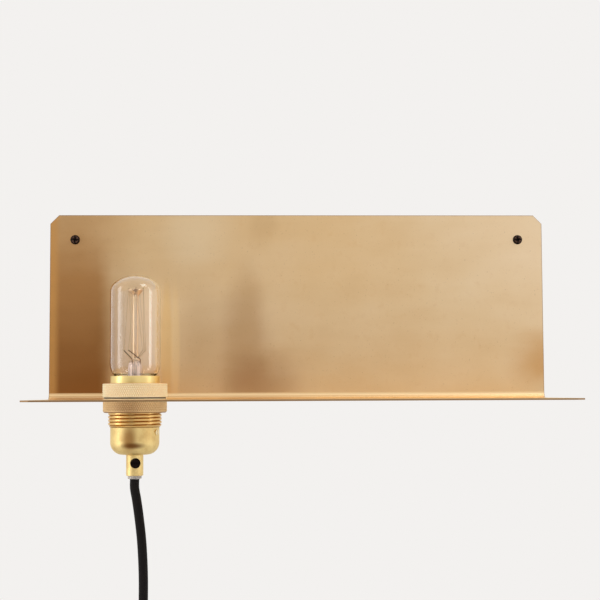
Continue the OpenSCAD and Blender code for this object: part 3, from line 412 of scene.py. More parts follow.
class Finish(Nodes):
    """A procedural material and the nodes that it is made of."""

    def __init__(self, name, colour=(0.5, 0.5, 0.5), roughness=0.5, metallic=0.0, **fixed):
        self.material = bpy.data.materials.new(name)
        self.material.use_nodes = True
        super().__init__(self.material.node_tree)
        self.shader = self.nodes["Principled BSDF"]
        self.set("Base Color", colour)
        self.set("Roughness", roughness)
        self.set("Metallic", metallic)
        for key, value in fixed.items():
            self.set(key.replace("_", " "), value)
        self.place = None

    def set(self, name, value):
        """Sets a socket of the shader."""
        self.put(self.shader.inputs[name], value)

    def at(self, stretch=(1, 1, 1)):
        """The point on the piece, its coordinates multiplied by the stretch."""
        if self.place is None:
            self.place = self.node("ShaderNodeTexCoord", output="Object")
        return self.node("ShaderNodeMapping", {}, {"Vector": self.place, "Scale": stretch})

    def axes(self):
        """The three coordinates of the point, in mm."""
        return [part * (1 / MM) for part in self.parts(self.at())]

    def noise(self, scale, detail, roughness=0.5, stretch=(1, 1, 1)):
        """Noise from 0 to 1 with this many blotches to the metre."""
        return self.node("ShaderNodeTexNoise", {}, {
            "Vector": self.at(stretch), "Scale": scale, "Detail": detail, "Roughness": roughness})

    def mix(self, mask, first, second):
        """A colour between two, by a mask."""
        return self.node("ShaderNodeMix", {"data_type": "RGBA"},
                         {"Factor": mask, 6: first, 7: second}, output=2)

    def ramp(self, amount, *stops):
        """The colour that a list of positions and colours gives for an amount."""
        return self.node("ShaderNodeValToRGB", {"stops": stops}, {"Fac": amount})

    def relief(self, height, depth, strength, beneath=None):
        """A bump of this depth in mm."""
        inputs = {"Height": height, "Distance": depth * MM, "Strength": strength}
        if beneath:
            inputs["Normal"] = beneath
        return self.node("ShaderNodeBump", {}, inputs)

    def cover(self, mask, kind, inputs=None):
        """Lays another shader over this one where the mask is 1."""
        own = Amount(self, self.shader.outputs[0])
        covered = self.blend(mask, own, self.node(kind, {}, inputs))
        self.put(self.nodes["Material Output"].inputs["Surface"], covered)


def linear(red, green, blue):
    """A colour as seen on a screen, from 0 to 255, made linear."""
    def one(value):
        value /= 255
        return value / 12.92 if value <= 0.04045 else ((value + 0.055) / 1.055) ** 2.4
    return (one(red), one(green), one(blue))


def blob(across, up, middle, half_size, softness):
    """1 in the middle of a soft oval patch, 0 outside it."""
    aside = (across - middle[0]) / half_size[0]
    above = (up - middle[1]) / half_size[1]
    away = (aside ** 2 + above ** 2) ** 0.5
    return 1 - away.rise(1 - softness, 1)


# Soft patches of tone on the bracket, each with its middle (across, up), half size, softness, share and
# colour
TONE_PATCHES = [
    ((-84, 6), (46, 40), 0.9, 0.6, (252, 228, 190)),
    ((202, -100), (40, 34), 0.9, 0.7, (212, 158, 94)),
    ((-38, -78), (26, 78), 0.8, 0.45, (186, 142, 96)),
    ((-28, -116), (46, 36), 0.9, 0.5, (160, 108, 62)),
    ((-30, 12), (16, 22), 0.7, 0.2, (200, 160, 110)),
]
# Narrow upright bands of gold beside the bulb
BANDS = [
    ((-106, -88), (6, 66), 0.5, 0.55, (238, 196, 128)),
    ((-99, -88), (5, 66), 0.6, 0.5, (250, 216, 160)),
]


def sheet_brass():
    """Satin rolled brass with a warm patina, blotched in the middle; the brown at its left end and its
    broad paler and darker tones are painted reflection, and its fold has a painted highlight.
    """
    finish = Finish("sheet_brass", metallic=1.0)
    drift = finish.noise(7, 3)
    cloud = finish.noise(30, 4, 0.55)
    mottle = finish.noise(120, 4, 0.6)
    streak = finish.noise(26, 4, 0.6, stretch=(0.22, 1, 1))
    specks = finish.noise(700, 2).rise(0.66, 0.74)
    grain = finish.noise(260, 3, 0.6, stretch=(0.05, 1, 1))

    # The point, and the same point led astray, so that the edges of patches wander
    across, depth, up = finish.axes()
    x = across + ((drift - 0.5) * 26 + (cloud - 0.5) * 10)
    z = up + (cloud - 0.5) * 20 + (streak - 0.5) * 26
    leftward, down = x * -1, z * -1
    left_end_reflection = ((across + (cloud - 0.5) * 7) * -1).rise(147, 163)
    left_reflection_patch = left_end_reflection * down.rise(-18, 36)

    tone = drift * 0.35 + cloud * 0.25 + streak * 0.4
    base = finish.ramp(tone, (0.32, linear(232, 198, 152)), (0.5, linear(241, 212, 170)),
                       (0.68, linear(246, 221, 185)))
    layers = [
        (mottle.rise(0.5, 0.8) * 0.3, (222, 182, 132)),
        # Paler towards the upper right: painted reflection of the bright room
        ((x + z * 0.8).rise(60, 230) * 0.5, (252, 226, 192)),
        (z.rise(-90, -20) * (1 - x.rise(10, 150)) * 0.35, (244, 201, 139)),
        # Darker towards the bottom and the lower left: painted shade and reflection of the room
        (down.rise(20, 130) * 0.3, (226, 188, 138)),
        (leftward.rise(-10, 60) * down.rise(20, 90) * 0.3, (214, 172, 124)),
    ]
    layers += [(blob(x, z, *shape) * share, colour) for *shape, share, colour in TONE_PATCHES]
    layers += [(blob(across, up, *shape) * share, colour) for *shape, share, colour in BANDS]
    layers += [
        # The brown left end is a painted reflection of the dark room, deepest low down
        (leftward.rise(120, 178) * 0.7, (204, 158, 106)),
        (left_reflection_patch * 0.82, (184, 132, 78)),
        (left_end_reflection * down.rise(22, 124) * 0.8, (142, 90, 42)),
        ((across * -1).rise(HALF_WIDTH - 9.5, HALF_WIDTH - 2.5) * 0.72, (224, 168, 100)),
        (specks * 0.18, (120, 84, 50)),
    ]

    # The fold has a painted highlight, with a line of painted shade where it meets the shelf; the
    # sheet's cut edges are brown
    fold_highlight = (up * -1).rise(-FOLD_TOP - 0.4, -FOLD_TOP + 0.6)
    crease_shade = 1 - (up - (SHELF_TOP + 2.2)).size().rise(0.25, 0.6)
    ends = across.size()
    cut_edge = (depth * -1).rise(-SHELF_FRONT - 0.7, -SHELF_FRONT - 0.3)
    corner = HALF_WIDTH - CORNER_CUT
    for outward, limit in ((ends, HALF_WIDTH), (up, TOP_Z), (ends - depth, corner - SHELF_FRONT),
                           (ends + up, corner + TOP_Z)):
        cut_edge = cut_edge.larger(outward.rise(limit - 0.6, limit - 0.2))
    layers += [
        (fold_highlight * 0.85, (250, 218, 168)),
        (crease_shade * (depth > -FOLD_R) * 0.6, (196, 150, 98)),
        (cut_edge * 0.75, (124, 84, 48)),
    ]
    for mask, colour in layers:
        base = finish.mix(mask, base, linear(*colour))
    finish.set("Base Color", base)
    finish.set("Roughness", 0.32 + grain * 0.08 + mottle * 0.08 + left_reflection_patch * 0.05)
    waviness = finish.relief(drift, 0.5, 0.4)
    finish.set("Normal", finish.relief(grain + mottle * 0.5, 0.012, 0.6, beneath=waviness))
    return finish.material


def on_holder(finish):
    """The point counted from the holder's axis and the shelf's top, and its radius, in mm."""
    side, depth, height = (part - middle for part, middle in zip(finish.axes(), HOLDER))
    return side, depth, height, (side ** 2 + depth ** 2) ** 0.5


def knurled_brass(name, light, dark, ring_r, brown):
    """A knurled ring with bright peaks and painted shade in its valleys, a groove painted dark as shade,
    and its share of painted dark reflection at the front.
    """
    finish = Finish(name, metallic=0.5)
    side, depth, height, radius = on_holder(finish)
    cloud = finish.noise(300, 3, 0.6)
    # The valleys are painted darker than the peaks: painted shade
    peak = radius.rise(ring_r - 0.95 * KNURL_DEPTH, ring_r - 0.6 * KNURL_DEPTH)
    base = finish.mix(peak * 0.85 + cloud * 0.15, dark, light)
    # A painted dark reflection at the front of the ring
    dark_reflection = blob(side, height, (-3, -6), (14, 12), 0.9) * (depth < 0)
    base = finish.mix(dark_reflection * brown, base, linear(140, 86, 40))
    # The groove is painted dark: painted shade
    in_groove = (height - (GROOVE_LOW + GROOVE_HIGH) / 2).size() < 0.6
    groove = in_groove * (1 - radius.rise(ring_r - 0.9, ring_r - 0.3))
    finish.set("Base Color", finish.mix(groove, base, linear(84, 48, 8)))
    finish.set("Roughness", 0.48 + cloud * 0.1)
    return finish.material


def threaded_brass():
    """The holder's skirt: bright crests and grooves painted dull as shade on the thread, and a bright
    rim.
    """
    finish = Finish("bright_brass", metallic=1.0)
    _, _, height, radius = on_holder(finish)
    cloud = finish.noise(160, 3, 0.6)
    thread = height < -1
    # The grooves are painted darker: painted shade
    groove = (1 - radius.rise(ROOT_R - 0.1, CREST_R - 0.7)) * thread
    base = finish.mix(thread * 0.7, linear(246, 220, 150), linear(236, 190, 120))
    finish.set("Base Color", finish.mix(groove * 0.9 + cloud * 0.1, base, linear(160, 112, 52)))
    finish.set("Roughness", 0.3 + cloud * 0.1)
    return finish.material


def cap_brass():
    """Aged spun brass with two painted dark reflections at the front."""
    finish = Finish("cap_brass", metallic=1.0)
    side, depth, height, _ = on_holder(finish)
    cloud = finish.noise(120, 4, 0.6)
    lathe = finish.noise(2600, 2, stretch=(0.04, 0.04, 1))
    side = side + cloud * 3
    front = depth < 0
    # Two painted dark reflections at the front: one in the middle and a low one near the foot
    dark_reflection = blob(side, height, (-1.6, -29), (8, 14), 0.8) * front
    foot = blob(side, height, (1.5, -34), (12, 3.2), 0.8) * front
    base = finish.mix(cloud.rise(0.35, 0.75) * 0.5, linear(248, 222, 156), linear(208, 168, 104))
    base = finish.mix(dark_reflection * 0.7, base, linear(158, 98, 36))
    finish.set("Base Color", finish.mix(foot * 0.85, base, linear(112, 64, 22)))
    finish.set("Roughness", 0.42 + cloud * 0.08 + lathe * 0.05)
    finish.set("Normal", finish.relief(lathe, 0.01, 0.5))
    return finish.material


def plain_metal(name, colour, roughness, tint=0.8):
    """Plated, drawn or milled metal with a fine grain, clouded by its tinted colour."""
    finish = Finish(name, metallic=1.0)
    cloud = finish.noise(400, 3, 0.6)
    finish.set("Base Color", finish.mix(cloud, tuple(c * tint for c in colour), colour))
    finish.set("Roughness", roughness + cloud * 0.12)
    finish.set("Normal", finish.relief(finish.noise(3000, 2), 0.006, 0.5))
    return finish.material


def moulded(name, colour, roughness, bump=0.01, scale=2200, **fixed):
    """Moulded plastic, rubber or black glass with a fine even grain."""
    finish = Finish(name, **fixed)
    cloud = finish.noise(90, 3)
    grain = finish.noise(scale, 3, 0.55)
    finish.set("Base Color", finish.mix(cloud, tuple(c * 0.82 for c in colour), colour))
    finish.set("Roughness", roughness + grain * 0.1 + cloud * 0.05)
    finish.set("Normal", finish.relief(grain, bump, 0.6))
    return finish.material


def clear_glass(name, roughness=0.0, tint=(1.0, 1.0, 1.0), clear=1.0):
    """Clear glass, or a clear plastic that is cloudy and tinted."""
    return Finish(name, tint, roughness, Transmission_Weight=clear, IOR=1.46).material


def stem_glass():
    """Clear glass: its pressed foot is milky and streaked, and its rod's edges have pale painted
    reflections.
    """
    finish = Finish("stem_glass", (1.0, 1.0, 1.0), 0.02, Transmission_Weight=1.0, IOR=1.46)
    _, _, height, _ = on_holder(finish)
    streak = finish.noise(900, 2, stretch=(1, 1, 0.02))
    up_rod = height.rise(RIM_TOP + 9, RIM_TOP + 13)
    foot = (1 - up_rod) * (streak.rise(0.35, 0.65) * 0.45 + 0.4)
    # The rod's edges get painted pale reflections of the strip lamps
    aside = finish.node("ShaderNodeLayerWeight", {}, {"Blend": 0.5}, output="Facing")
    rod_reflections = up_rod * aside.rise(0.08, 0.22) * 0.85
    colour = finish.mix(up_rod, linear(255, 230, 216), linear(255, 222, 180))
    finish.cover(foot.larger(rod_reflections), "ShaderNodeBsdfPrincipled",
                 {"Base Color": colour, "Roughness": 0.45, "Metallic": 1.0})
    return finish.material


def highlighted_screw():
    """Blackened steel, with a painted brown highlight between the arms of the cross in the wall screws'
    heads.
    """
    finish = Finish("blackened_steel", Specular_IOR_Level=0.08)
    cloud = finish.noise(1100, 2)
    across, _, z = finish.axes()
    side = across.size() - SCREW_X
    radius = (side ** 2 + z ** 2) ** 0.5
    # A painted highlight in a ring round the cross
    ring = radius.rise(0.9, 1.5) * (1 - radius.rise(2.5, 3.2))
    cross = (side.size() < 0.6).larger(z.size() < 0.6)
    screw_highlight = ring * (1 - cross) * (cloud.rise(0.35, 0.6) * 0.6 + 0.4)
    finish.set("Base Color", finish.mix(screw_highlight, linear(20, 10, 8), linear(104, 78, 68)))
    finish.set("Roughness", 0.5 + cloud * 0.1)
    return finish.material


def glazed_porcelain():
    """White porcelain under a clear glaze."""
    finish = Finish("glazed_porcelain", Coat_Weight=0.6, Coat_Roughness=0.08)
    cloud = finish.noise(60, 3)
    finish.set("Base Color", finish.mix(cloud, linear(222, 216, 202), linear(238, 234, 224)))
    finish.set("Roughness", 0.22 + cloud * 0.08)
    finish.set("Normal", finish.relief(finish.noise(700, 3), 0.02, 0.4))
    return finish.material


def braided(name, dark, pale):
    """Textile braid on the UV map: u goes round the cord, v along it by its circumference."""
    finish = Finish(name, Sheen_Weight=0.06, Sheen_Roughness=0.5, Specular_IOR_Level=0.2)
    uv_map = finish.node("ShaderNodeTexCoord", output="UV")
    u, v, _ = (part * BRAID_CELLS for part in finish.parts(uv_map))
    one, two = u + v, u - v
    over = ((one.floor() + two.floor()) * 0.5 * math.pi + math.pi / 4).wave() > 0
    yarn = (one * math.pi).wave().size() * over + (two * math.pi).wave().size() * (1 - over)
    fibre = finish.noise(2600, 3, 0.6)
    fleck = finish.noise(1500, 2).rise(0.6, 0.72)
    colour = finish.mix(yarn * 0.7 + fibre * 0.3, tuple(c * 0.35 for c in dark), dark)
    finish.set("Base Color", finish.mix(fleck * yarn * 0.35, colour, pale))
    finish.set("Roughness", 0.72 + fibre * 0.16)
    finish.set("Normal", finish.relief(yarn + fibre * 0.3, 0.16, 0.9))
    return finish.material


def webbing():
    """Hook-and-loop strap: a fine ribbed weave."""
    finish = Finish("webbing", Sheen_Weight=0.3, Sheen_Roughness=0.5)
    _, _, up = finish.axes()
    rib = (up * 4.5).wave() * 0.5 + 0.5
    fibre = finish.noise(2400, 3, 0.6)
    finish.set("Base Color", finish.mix(rib * 0.5 + fibre * 0.5, linear(22, 22, 23), linear(52, 51, 50)))
    finish.set("Roughness", 0.78 + fibre * 0.14)
    finish.set("Normal", finish.relief(rib + fibre, 0.14, 0.8))
    return finish.material


FINISHES = {
    "bracket_brass": sheet_brass(),
    "holder_brass": threaded_brass(),
    "aged_brass": cap_brass(),
    "upper_knurl": knurled_brass("pale_knurl", linear(255, 248, 216), linear(228, 172, 108),
                                 UPPER_RING_R, 0),
    # The lower ring's copy is browner and darker than the upper's: painted shade under the shelf, with a
    # painted dark reflection at its front
    "lower_knurl": knurled_brass("brown_shaded_knurl", linear(255, 226, 176), linear(160, 108, 56),
                                 LOWER_RING_R, 0.4),
    "black_screw": highlighted_screw(),
    "zinc_steel": plain_metal("zinc_steel", linear(205, 206, 208), 0.3),
    "porcelain": glazed_porcelain(),
    "black_plastic": moulded("black_plastic", linear(30, 29, 29), 0.42, 0.02),
    "amber_plastic": moulded("amber_plastic", linear(214, 190, 150), 0.3, Subsurface_Weight=0.3,
                             Subsurface_Radius=(2 * MM, 1.4 * MM, 0.8 * MM)),
    "textile": braided("textile_braid", linear(24, 18, 19), linear(86, 78, 76)),
    "brown_core": moulded("brown_core", linear(112, 66, 40), 0.45),
    "blue_core": moulded("blue_core", linear(50, 92, 168), 0.45),
    "green_core": moulded("green_core", linear(122, 160, 60), 0.45),
    "clear_glass": clear_glass("tube_glass"),
    "stem_glass": stem_glass(),
    "nylon": clear_glass("nylon", 0.35, linear(244, 236, 232), 0.55),
    "nickel": plain_metal("nickel", linear(222, 219, 212), 0.18),
    "black_glass": moulded("black_glass", linear(20, 20, 26), 0.12, 0.004),
    "wire": plain_metal("dull_wire", linear(112, 78, 38), 0.4),
    "filament": plain_metal("filament_wire", linear(216, 184, 142), 0.5),
    "pale_wire": plain_metal("hook_wire", linear(206, 172, 132), 0.45),
    # Brighter brass for the lock screw, standing for a painted highlight on its head
    "pale_brass": plain_metal("lock_screw_brass", linear(255, 236, 192), 0.3, 0.92),
    "tie_fabric": webbing(),
    "black_rubber": moulded("black_rubber", linear(32, 31, 31), 0.5, 0.03, 1600),
}


# ---- Bracket ----

def make_bracket():
    """One sheet: a strip of skin pulled down, round the fold and out, then given its thickness."""
    deselect()
    bpy.ops.mesh.primitive_plane_add(size=1, rotation=(math.pi / 2, 0, 0))
    sheet = fresh("bracket_sheet")
    sheet.scale = (2 * HALF_WIDTH * MM, (TOP_Z - FOLD_TOP) * MM, 1)
    sheet.location = Vector((0, 0, (TOP_Z + FOLD_TOP) / 2)) * MM
    settle(sheet)
    bpy.ops.object.mode_set(mode="EDIT")
    select_edges(lambda a, b: max(a.z, b.z) < FOLD_TOP + NEAR)
    fold_steps = 12
    outer = FOLD_R + SHEET
    last = Vector((0, 0, FOLD_TOP))
    for i in range(1, fold_steps + 1):
        angle = math.pi / 2 * i / fold_steps
        here = Vector((0, -outer * (1 - math.cos(angle)), FOLD_TOP - outer * math.sin(angle)))
        bpy.ops.mesh.extrude_edges_move(TRANSFORM_OT_translate={"value": (here - last) * MM})
        last = here
    out_to_front = (0, (SHELF_FRONT - last.y) * MM, 0)
    bpy.ops.mesh.extrude_edges_move(TRANSFORM_OT_translate={"value": out_to_front})
    cut_corners()
    bpy.ops.object.mode_set(mode="OBJECT")
    modify(sheet, "SOLIDIFY", thickness=SHEET * MM, offset=1.0, use_even_offset=True)
    bore(sheet, HOLDER, CREST_R + 0.2, (0, 0, 0))
    for side in (-1, 1):
        bore(sheet, (side * SCREW_X, 0, 0), SCREW_HOLE_R, (math.pi / 2, 0, 0))
    soften(sheet, 0.22, 50)
    shade(sheet, 40)
    flatten(sheet)
    keep(sheet, "root", "bracket_brass", FINISHES["bracket_brass"], "shelf_bracket")


def cut_corners():
    """Cuts the four free corners of the skin off at 45 degrees."""
    for side in (-1, 1):
        x = side * (HALF_WIDTH - CORNER_CUT)
        for place, outward in (((x, 0, TOP_Z), (side, 0, 1)),
                               ((x, SHELF_FRONT, SHELF_BOTTOM), (side, -1, 0))):
            bpy.ops.mesh.select_all(action="SELECT")
            bpy.ops.mesh.bisect(plane_co=Vector(place) * MM, plane_no=Vector(outward),
                                clear_outer=True)


def bore(piece, middle, radius, turn):
    """Drills a round hole through a piece, upright unless the drill is turned."""
    deselect()
    bpy.ops.mesh.primitive_cylinder_add(vertices=96, radius=radius * MM, depth=12 * MM,
                                        location=Vector(middle) * MM, rotation=turn)
    drill = fresh("drill")
    modify(piece, "BOOLEAN", operation="DIFFERENCE", object=drill, solver="EXACT")
    bpy.data.objects.remove(drill)


# ---- Lampholder ----

def knurl(ring, ring_r, low, high):
    """Presses crossed grooves into the side of a turned ring between two heights."""
    row = 2 * FULL_TURN * ring_r / KNURLS

    def pressed(radius, turn, z):
        if radius < ring_r - NEAR or not low < z < high:
            return radius
        round_part, up_part = turn * KNURLS, z / row
        heights = [2 * abs(p - round(p)) for p in (round_part + up_part, round_part - up_part)]
        return ring_r - KNURL_DEPTH * (1 - min(heights))

    press(ring, pressed)


def knurl_rows(radius, low, high):
    """Points up the side of a ring between two heights, a quarter of a knurl apart."""
    step = FULL_TURN * radius / KNURLS / 4
    return [(radius, step * i) for i in range(math.ceil(low / step), math.floor(high / step) + 1)]


def ridges(low, high, gap=0.0):
    """Radius and height of the plain thread ridges between two heights, going up."""
    points = []
    for i in range(RIDGES):
        middle = SKIRT_BOTTOM + 0.2 + PITCH * (i + 0.5)
        for radius, share in ((ROOT_R, -0.46), (CREST_R, -0.12), (CREST_R, 0.12), (ROOT_R, 0.46)):
            height = middle + share * PITCH
            if low <= height <= high:
                points.append((radius + gap, height))
    return points


def make_upper_ring():
    """The upper clamp ring: a lip and a groove at its foot, and knurling above them."""
    bore_r = ROOT_R + RING_GAP
    lip_r, groove_r = UPPER_RING_R - 0.2, UPPER_RING_R - 1.3
    top = UPPER_RING_H - 0.8
    outline = [(bore_r, 0), (UPPER_RING_R - 0.5, 0), (lip_r, 0.25), (lip_r, GROOVE_LOW - 0.05),
               (groove_r, GROOVE_LOW), (groove_r, GROOVE_HIGH), (lip_r, GROOVE_HIGH + 0.05)]
    outline += knurl_rows(UPPER_RING_R, 2, top)
    outline += [(UPPER_RING_R - 0.15, top + 0.25), (UPPER_RING_R - 0.8, UPPER_RING_H),
                (bore_r, UPPER_RING_H)]
    outline += ridges(0.2, UPPER_RING_H - 0.2, RING_GAP)[::-1]
    ring = turned("clamp_ring_upper", outline, steps=4 * KNURLS)
    knurl(ring, UPPER_RING_R, 1.9, top + 0.1)
    shade(ring, 40)
    keep(ring, "upper_ring", "aged_brass", FINISHES["upper_knurl"], "upper_ring")


def make_lower_ring():
    """The lower clamp ring, under the shelf, with knurling from edge to edge."""
    bore_r = ROOT_R + RING_GAP
    top, foot = -SHEET, -SHEET - LOWER_RING_H
    low = foot + 1.2
    outline = [(bore_r, top), (LOWER_RING_R - 0.35, top), (LOWER_RING_R - 0.1, top - 0.2)]
    outline += knurl_rows(LOWER_RING_R, low, top - 0.3)[::-1]
    outline += [(LOWER_RING_R - 0.2, low - 0.3), (LOWER_RING_R - 1.2, foot), (bore_r, foot)]
    outline += ridges(foot + 0.2, top - 0.2, RING_GAP)
    ring = turned("clamp_ring_lower", outline, steps=4 * KNURLS)
    knurl(ring, LOWER_RING_R, low - 0.1, top - 0.25)
    shade(ring, 40)
    keep(ring, "lower_ring", "aged_brass", FINISHES["lower_knurl"], "lower_ring")


def make_skirt():
    """The threaded skirt: a helix where it shows, plain ridges where the rings hide it."""
    helix_top, ridges_from = -9.9, -9.4
    rows_to_a_turn = 8
    count = int((helix_top - SKIRT_BOTTOM) * rows_to_a_turn / PITCH) + 1
    seat_r, seat_low, seat_high = SKIRT_R - 2.1, 4, 6
    outline = [(ROOT_R, SKIRT_BOTTOM + PITCH / rows_to_a_turn * i) for i in range(count)]
    outline += ridges(ridges_from, RIM_TOP)
    outline += [(ROOT_R, RIM_TOP - 0.5), (ROOT_R - 0.15, RIM_TOP - 0.12), (ROOT_R - 0.5, RIM_TOP)]
    outline += [(SKIRT_R, RIM_TOP), (SKIRT_R, seat_high), (seat_r, seat_high), (seat_r, seat_low),
                (SKIRT_R, seat_low), (SKIRT_R, SKIRT_BOTTOM)]
    skirt = turned("threaded_skirt", outline, steps=144)

    def threaded(radius, turn, z):
        if radius < ROOT_R - NEAR or z > helix_top + NEAR:
            return radius
        phase = z / PITCH - turn - 0.25
        ridge = 0.5 + 0.5 * math.cos(FULL_TURN * phase)
        runout = min(1, (z - SKIRT_BOTTOM) / 1.6)
        return ROOT_R + (CREST_R - ROOT_R) * min(1, 3.2 * ridge) * runout

    press(skirt, threaded)
    shade(skirt, 40)
    keep(skirt, "root", "holder_brass", FINISHES["holder_brass"], "holder_skirt")


def make_cap():
    """The domed cap, with a round hole for the grip and a sleeve that goes up into the skirt."""
    wall, hole_r = 1.2, 5.1
    sleeve_r, sleeve_bore_r, sleeve_top = 17.2, 16, SKIRT_BOTTOM + 8.5
    corner = (CAP_R - CAP_ROUND, CAP_BOTTOM + CAP_ROUND)
    inner_round = CAP_ROUND - wall
    outline = [(hole_r, CAP_BOTTOM + 0.1), (hole_r + 0.1, CAP_BOTTOM)]
    outline += arc(corner, CAP_ROUND, CAP_ROUND, -90, 0, 20)
    outline += [(CAP_R, SKIRT_BOTTOM - 0.25), (CAP_R - 0.25, SKIRT_BOTTOM), (sleeve_r, SKIRT_BOTTOM),
                (sleeve_r, sleeve_top), (sleeve_bore_r, sleeve_top),
                (sleeve_bore_r, SKIRT_BOTTOM - wall), (CAP_R - wall, SKIRT_BOTTOM - wall)]
    outline += arc(corner, inner_round, inner_round, 0, -90, 12) + [(hole_r, CAP_BOTTOM + wall)]
    cap = turned("domed_cap", outline, steps=128)
    shade(cap, 35)
    keep(cap, "root", "aged_brass", FINISHES["aged_brass"], "holder_cap")


# ---- Bulb ----

def make_glass():
    """The glass tube: a closed wall from the neck to the crown."""
    neck_r, neck_bottom = 12.75, 8.7
    shoulder = RIM_TOP + 9.8
    dome = 12.5

    def skin(inset):
        r = neck_r - inset
        points = [(r, neck_bottom), (r, shoulder - 13 + inset / 2)]
        points += arc((r, shoulder), GLASS_R - neck_r, 10.8 - inset, -65, 0, 16)
        return points + arc((0, GLASS_TOP - dome), GLASS_R - inset, dome - inset, 0, 90, 28)

    glass = turned("glass_tube", skin(0) + skin(GLASS_WALL)[::-1], steps=128)
    shade(glass, 60)
    keep(glass, "bulb", "clear_glass", FINISHES["clear_glass"], "bulb_glass")


def make_stem():
    """The glass stem inside the tube: foot, domed press, and the rod with its cupped button."""
    wall, foot_r, rod_r = 0.8, 5.4, 2.1
    press_z = RIM_TOP + 6.2
    top = GLASS_TOP - 10.6
    flare = [(11.85, 8.9), (11.05, 9.6), (6.2, 12.5), (foot_r, 15), (foot_r, press_z)]
    dome = [(5.2, press_z + 1.4), (4.8, press_z + 3), (4.2, press_z + 4.6), (3.4, press_z + 6),
            (2.5, press_z + 7)]
    rod = [(rod_r, press_z + 7.8), (rod_r, top - 6.2)]
    button = [(2.5, top - 4.6), (3.6, top - 3.2), (5, top - 2), (5.6, top - 0.8), (5.4, top - 0.2),
              (5, top), (3.6, top - 1.1), (1.8, top - 1.9), (0, top - 2.1)]
    hollow = [(0, press_z + 1), (foot_r - wall, press_z - 1), (foot_r - wall, 15),
              (6.2 - wall, 12.3), (10.95, 8.9)]
    stem = turned("bulb_glass_stem", flare + dome + rod + button + hollow, steps=64)
    shade(stem, 40)
    keep(stem, "bulb", "stem_glass", FINISHES["stem_glass"], "bulb_stem")


# ---- Cord ----

# The routes are counted from the point where each length of cord starts
DROP_ROUTE = [(0, 0, 0), (0, 0, -7), (1.6, 0, -16), (3.6, 0, -30), (5.3, 0, -45), (6.3, 0, -60),
              (6.8, 0, -75), (6.8, 0, -91), (6.8, 0, -107)]
LINK_ROUTE = [(0, 0, 0), (0, 0, -9), (0, 0, -16), (0, -1.4, -26.5), (0, -5.7, -37), (0, -10, -47.5),
              (0, -11.4, -58), (1.6, -11.4, -67.8), (6.4, -11.4, -76.5), (13.7, -11.4, -83.2),
              (19.6, -11.4, -87)]
MOUTH = Vector((HOLDER[0], HOLDER[1], HOLDER[2] + MOUTH_Z))
SWITCH_TOP = MOUTH + Vector(DROP_ROUTE[-1]) + Vector((0, 0, CLAMP_DEPTH))
LINK_START = SWITCH_TOP - Vector((0, 0, SWITCH_L - CLAMP_DEPTH))
LINK_END = LINK_START + Vector(LINK_ROUTE[-1])
HEADING = (Vector(LINK_ROUTE[-1]) - Vector(LINK_ROUTE[-2])).normalized()
START_ANGLE = math.degrees(math.atan2(HEADING.x, -HEADING.z))
COIL_CENTRE = LINK_END + COIL_LEAD * HEADING - COIL_R * Vector(
    (math.cos(math.radians(START_ANGLE)), 0, math.sin(math.radians(START_ANGLE))))
ALL_TURNS = COIL_TURNS + START_ANGLE / 360
LAYER_TURNS = ALL_TURNS / COIL_LAYERS
INNER_R = COIL_R - TURN_PITCH * LAYER_TURNS
TAIL_START = COIL_CENTRE + Vector((COIL_R, TURN_PITCH * (COIL_LAYERS - 1), -COIL_LEAD))
PLUG_TOP = TAIL_START - Vector((0, 0, TAIL_L))


def ease(t):
    """0 before 0, 1 after 1, and a smooth rise between them."""
    t = min(max(t, 0), 1)
    return t * t * (3 - 2 * t)


def coil_point(turns):
    """Where the cord is after this many turns: each layer spirals in or out."""
    layer = min(int(turns / LAYER_TURNS), COIL_LAYERS - 1)
    along = turns - layer * LAYER_TURNS
    radius = COIL_R - TURN_PITCH * along if layer % 2 == 0 else INNER_R + TURN_PITCH * along
    step_turns = 0.5
    back = sum(ease((turns / LAYER_TURNS - k) * LAYER_TURNS / step_turns + 0.5)
               for k in range(1, COIL_LAYERS))
    angle = math.radians(START_ANGLE - 360 * turns)
    return COIL_CENTRE + Vector((radius * math.cos(angle), TURN_PITCH * back, radius * math.sin(angle)))


def winding(per_turn):
    """Points along the whole coil, this many to a turn."""
    return [coil_point(i / per_turn) for i in range(int(ALL_TURNS * per_turn) + 1)]


def smooth_path(points, step):
    """Points a step apart on a smooth curve through the given ones."""
    finer = 16
    fine = []
    for i in range(len(points) - 1):
        before = points[max(i - 1, 0)]
        a, b = points[i], points[i + 1]
        after = points[min(i + 2, len(points) - 1)]
        for k in range(finer):
            t = k / finer
            fine.append(0.5 * (2 * a + (b - before) * t + (2 * before - 5 * a + 4 * b - after) * t * t
                               + (3 * a - before - 3 * b + after) * t ** 3))
    fine.append(points[-1])
    lengths = [0.0]
    for a, b in zip(fine, fine[1:]):
        lengths.append(lengths[-1] + (b - a).length)
    count = round(lengths[-1] / step)
    even, k = [], 0
    for i in range(count + 1):
        wanted = lengths[-1] * i / count
        while k < len(fine) - 2 and lengths[k + 1] < wanted:
            k += 1
        gap = lengths[k + 1] - lengths[k]
        share = min((wanted - lengths[k]) / gap, 1) if gap else 0
        even.append(fine[k].lerp(fine[k + 1], share))
    return even


def path_length(path):
    """How long a path is, from point to point."""
    return sum((b - a).length for a, b in zip(path, path[1:]))


def yarn_height(u, v):
    """Height of the braid from 0 to 1, as the textile finish draws it."""
    one, two = u + v, u - v
    over = math.sin((math.floor(one) + math.floor(two)) * 0.5 * math.pi + math.pi / 4) > 0
    return abs(math.sin(math.pi * (one if over else two)))


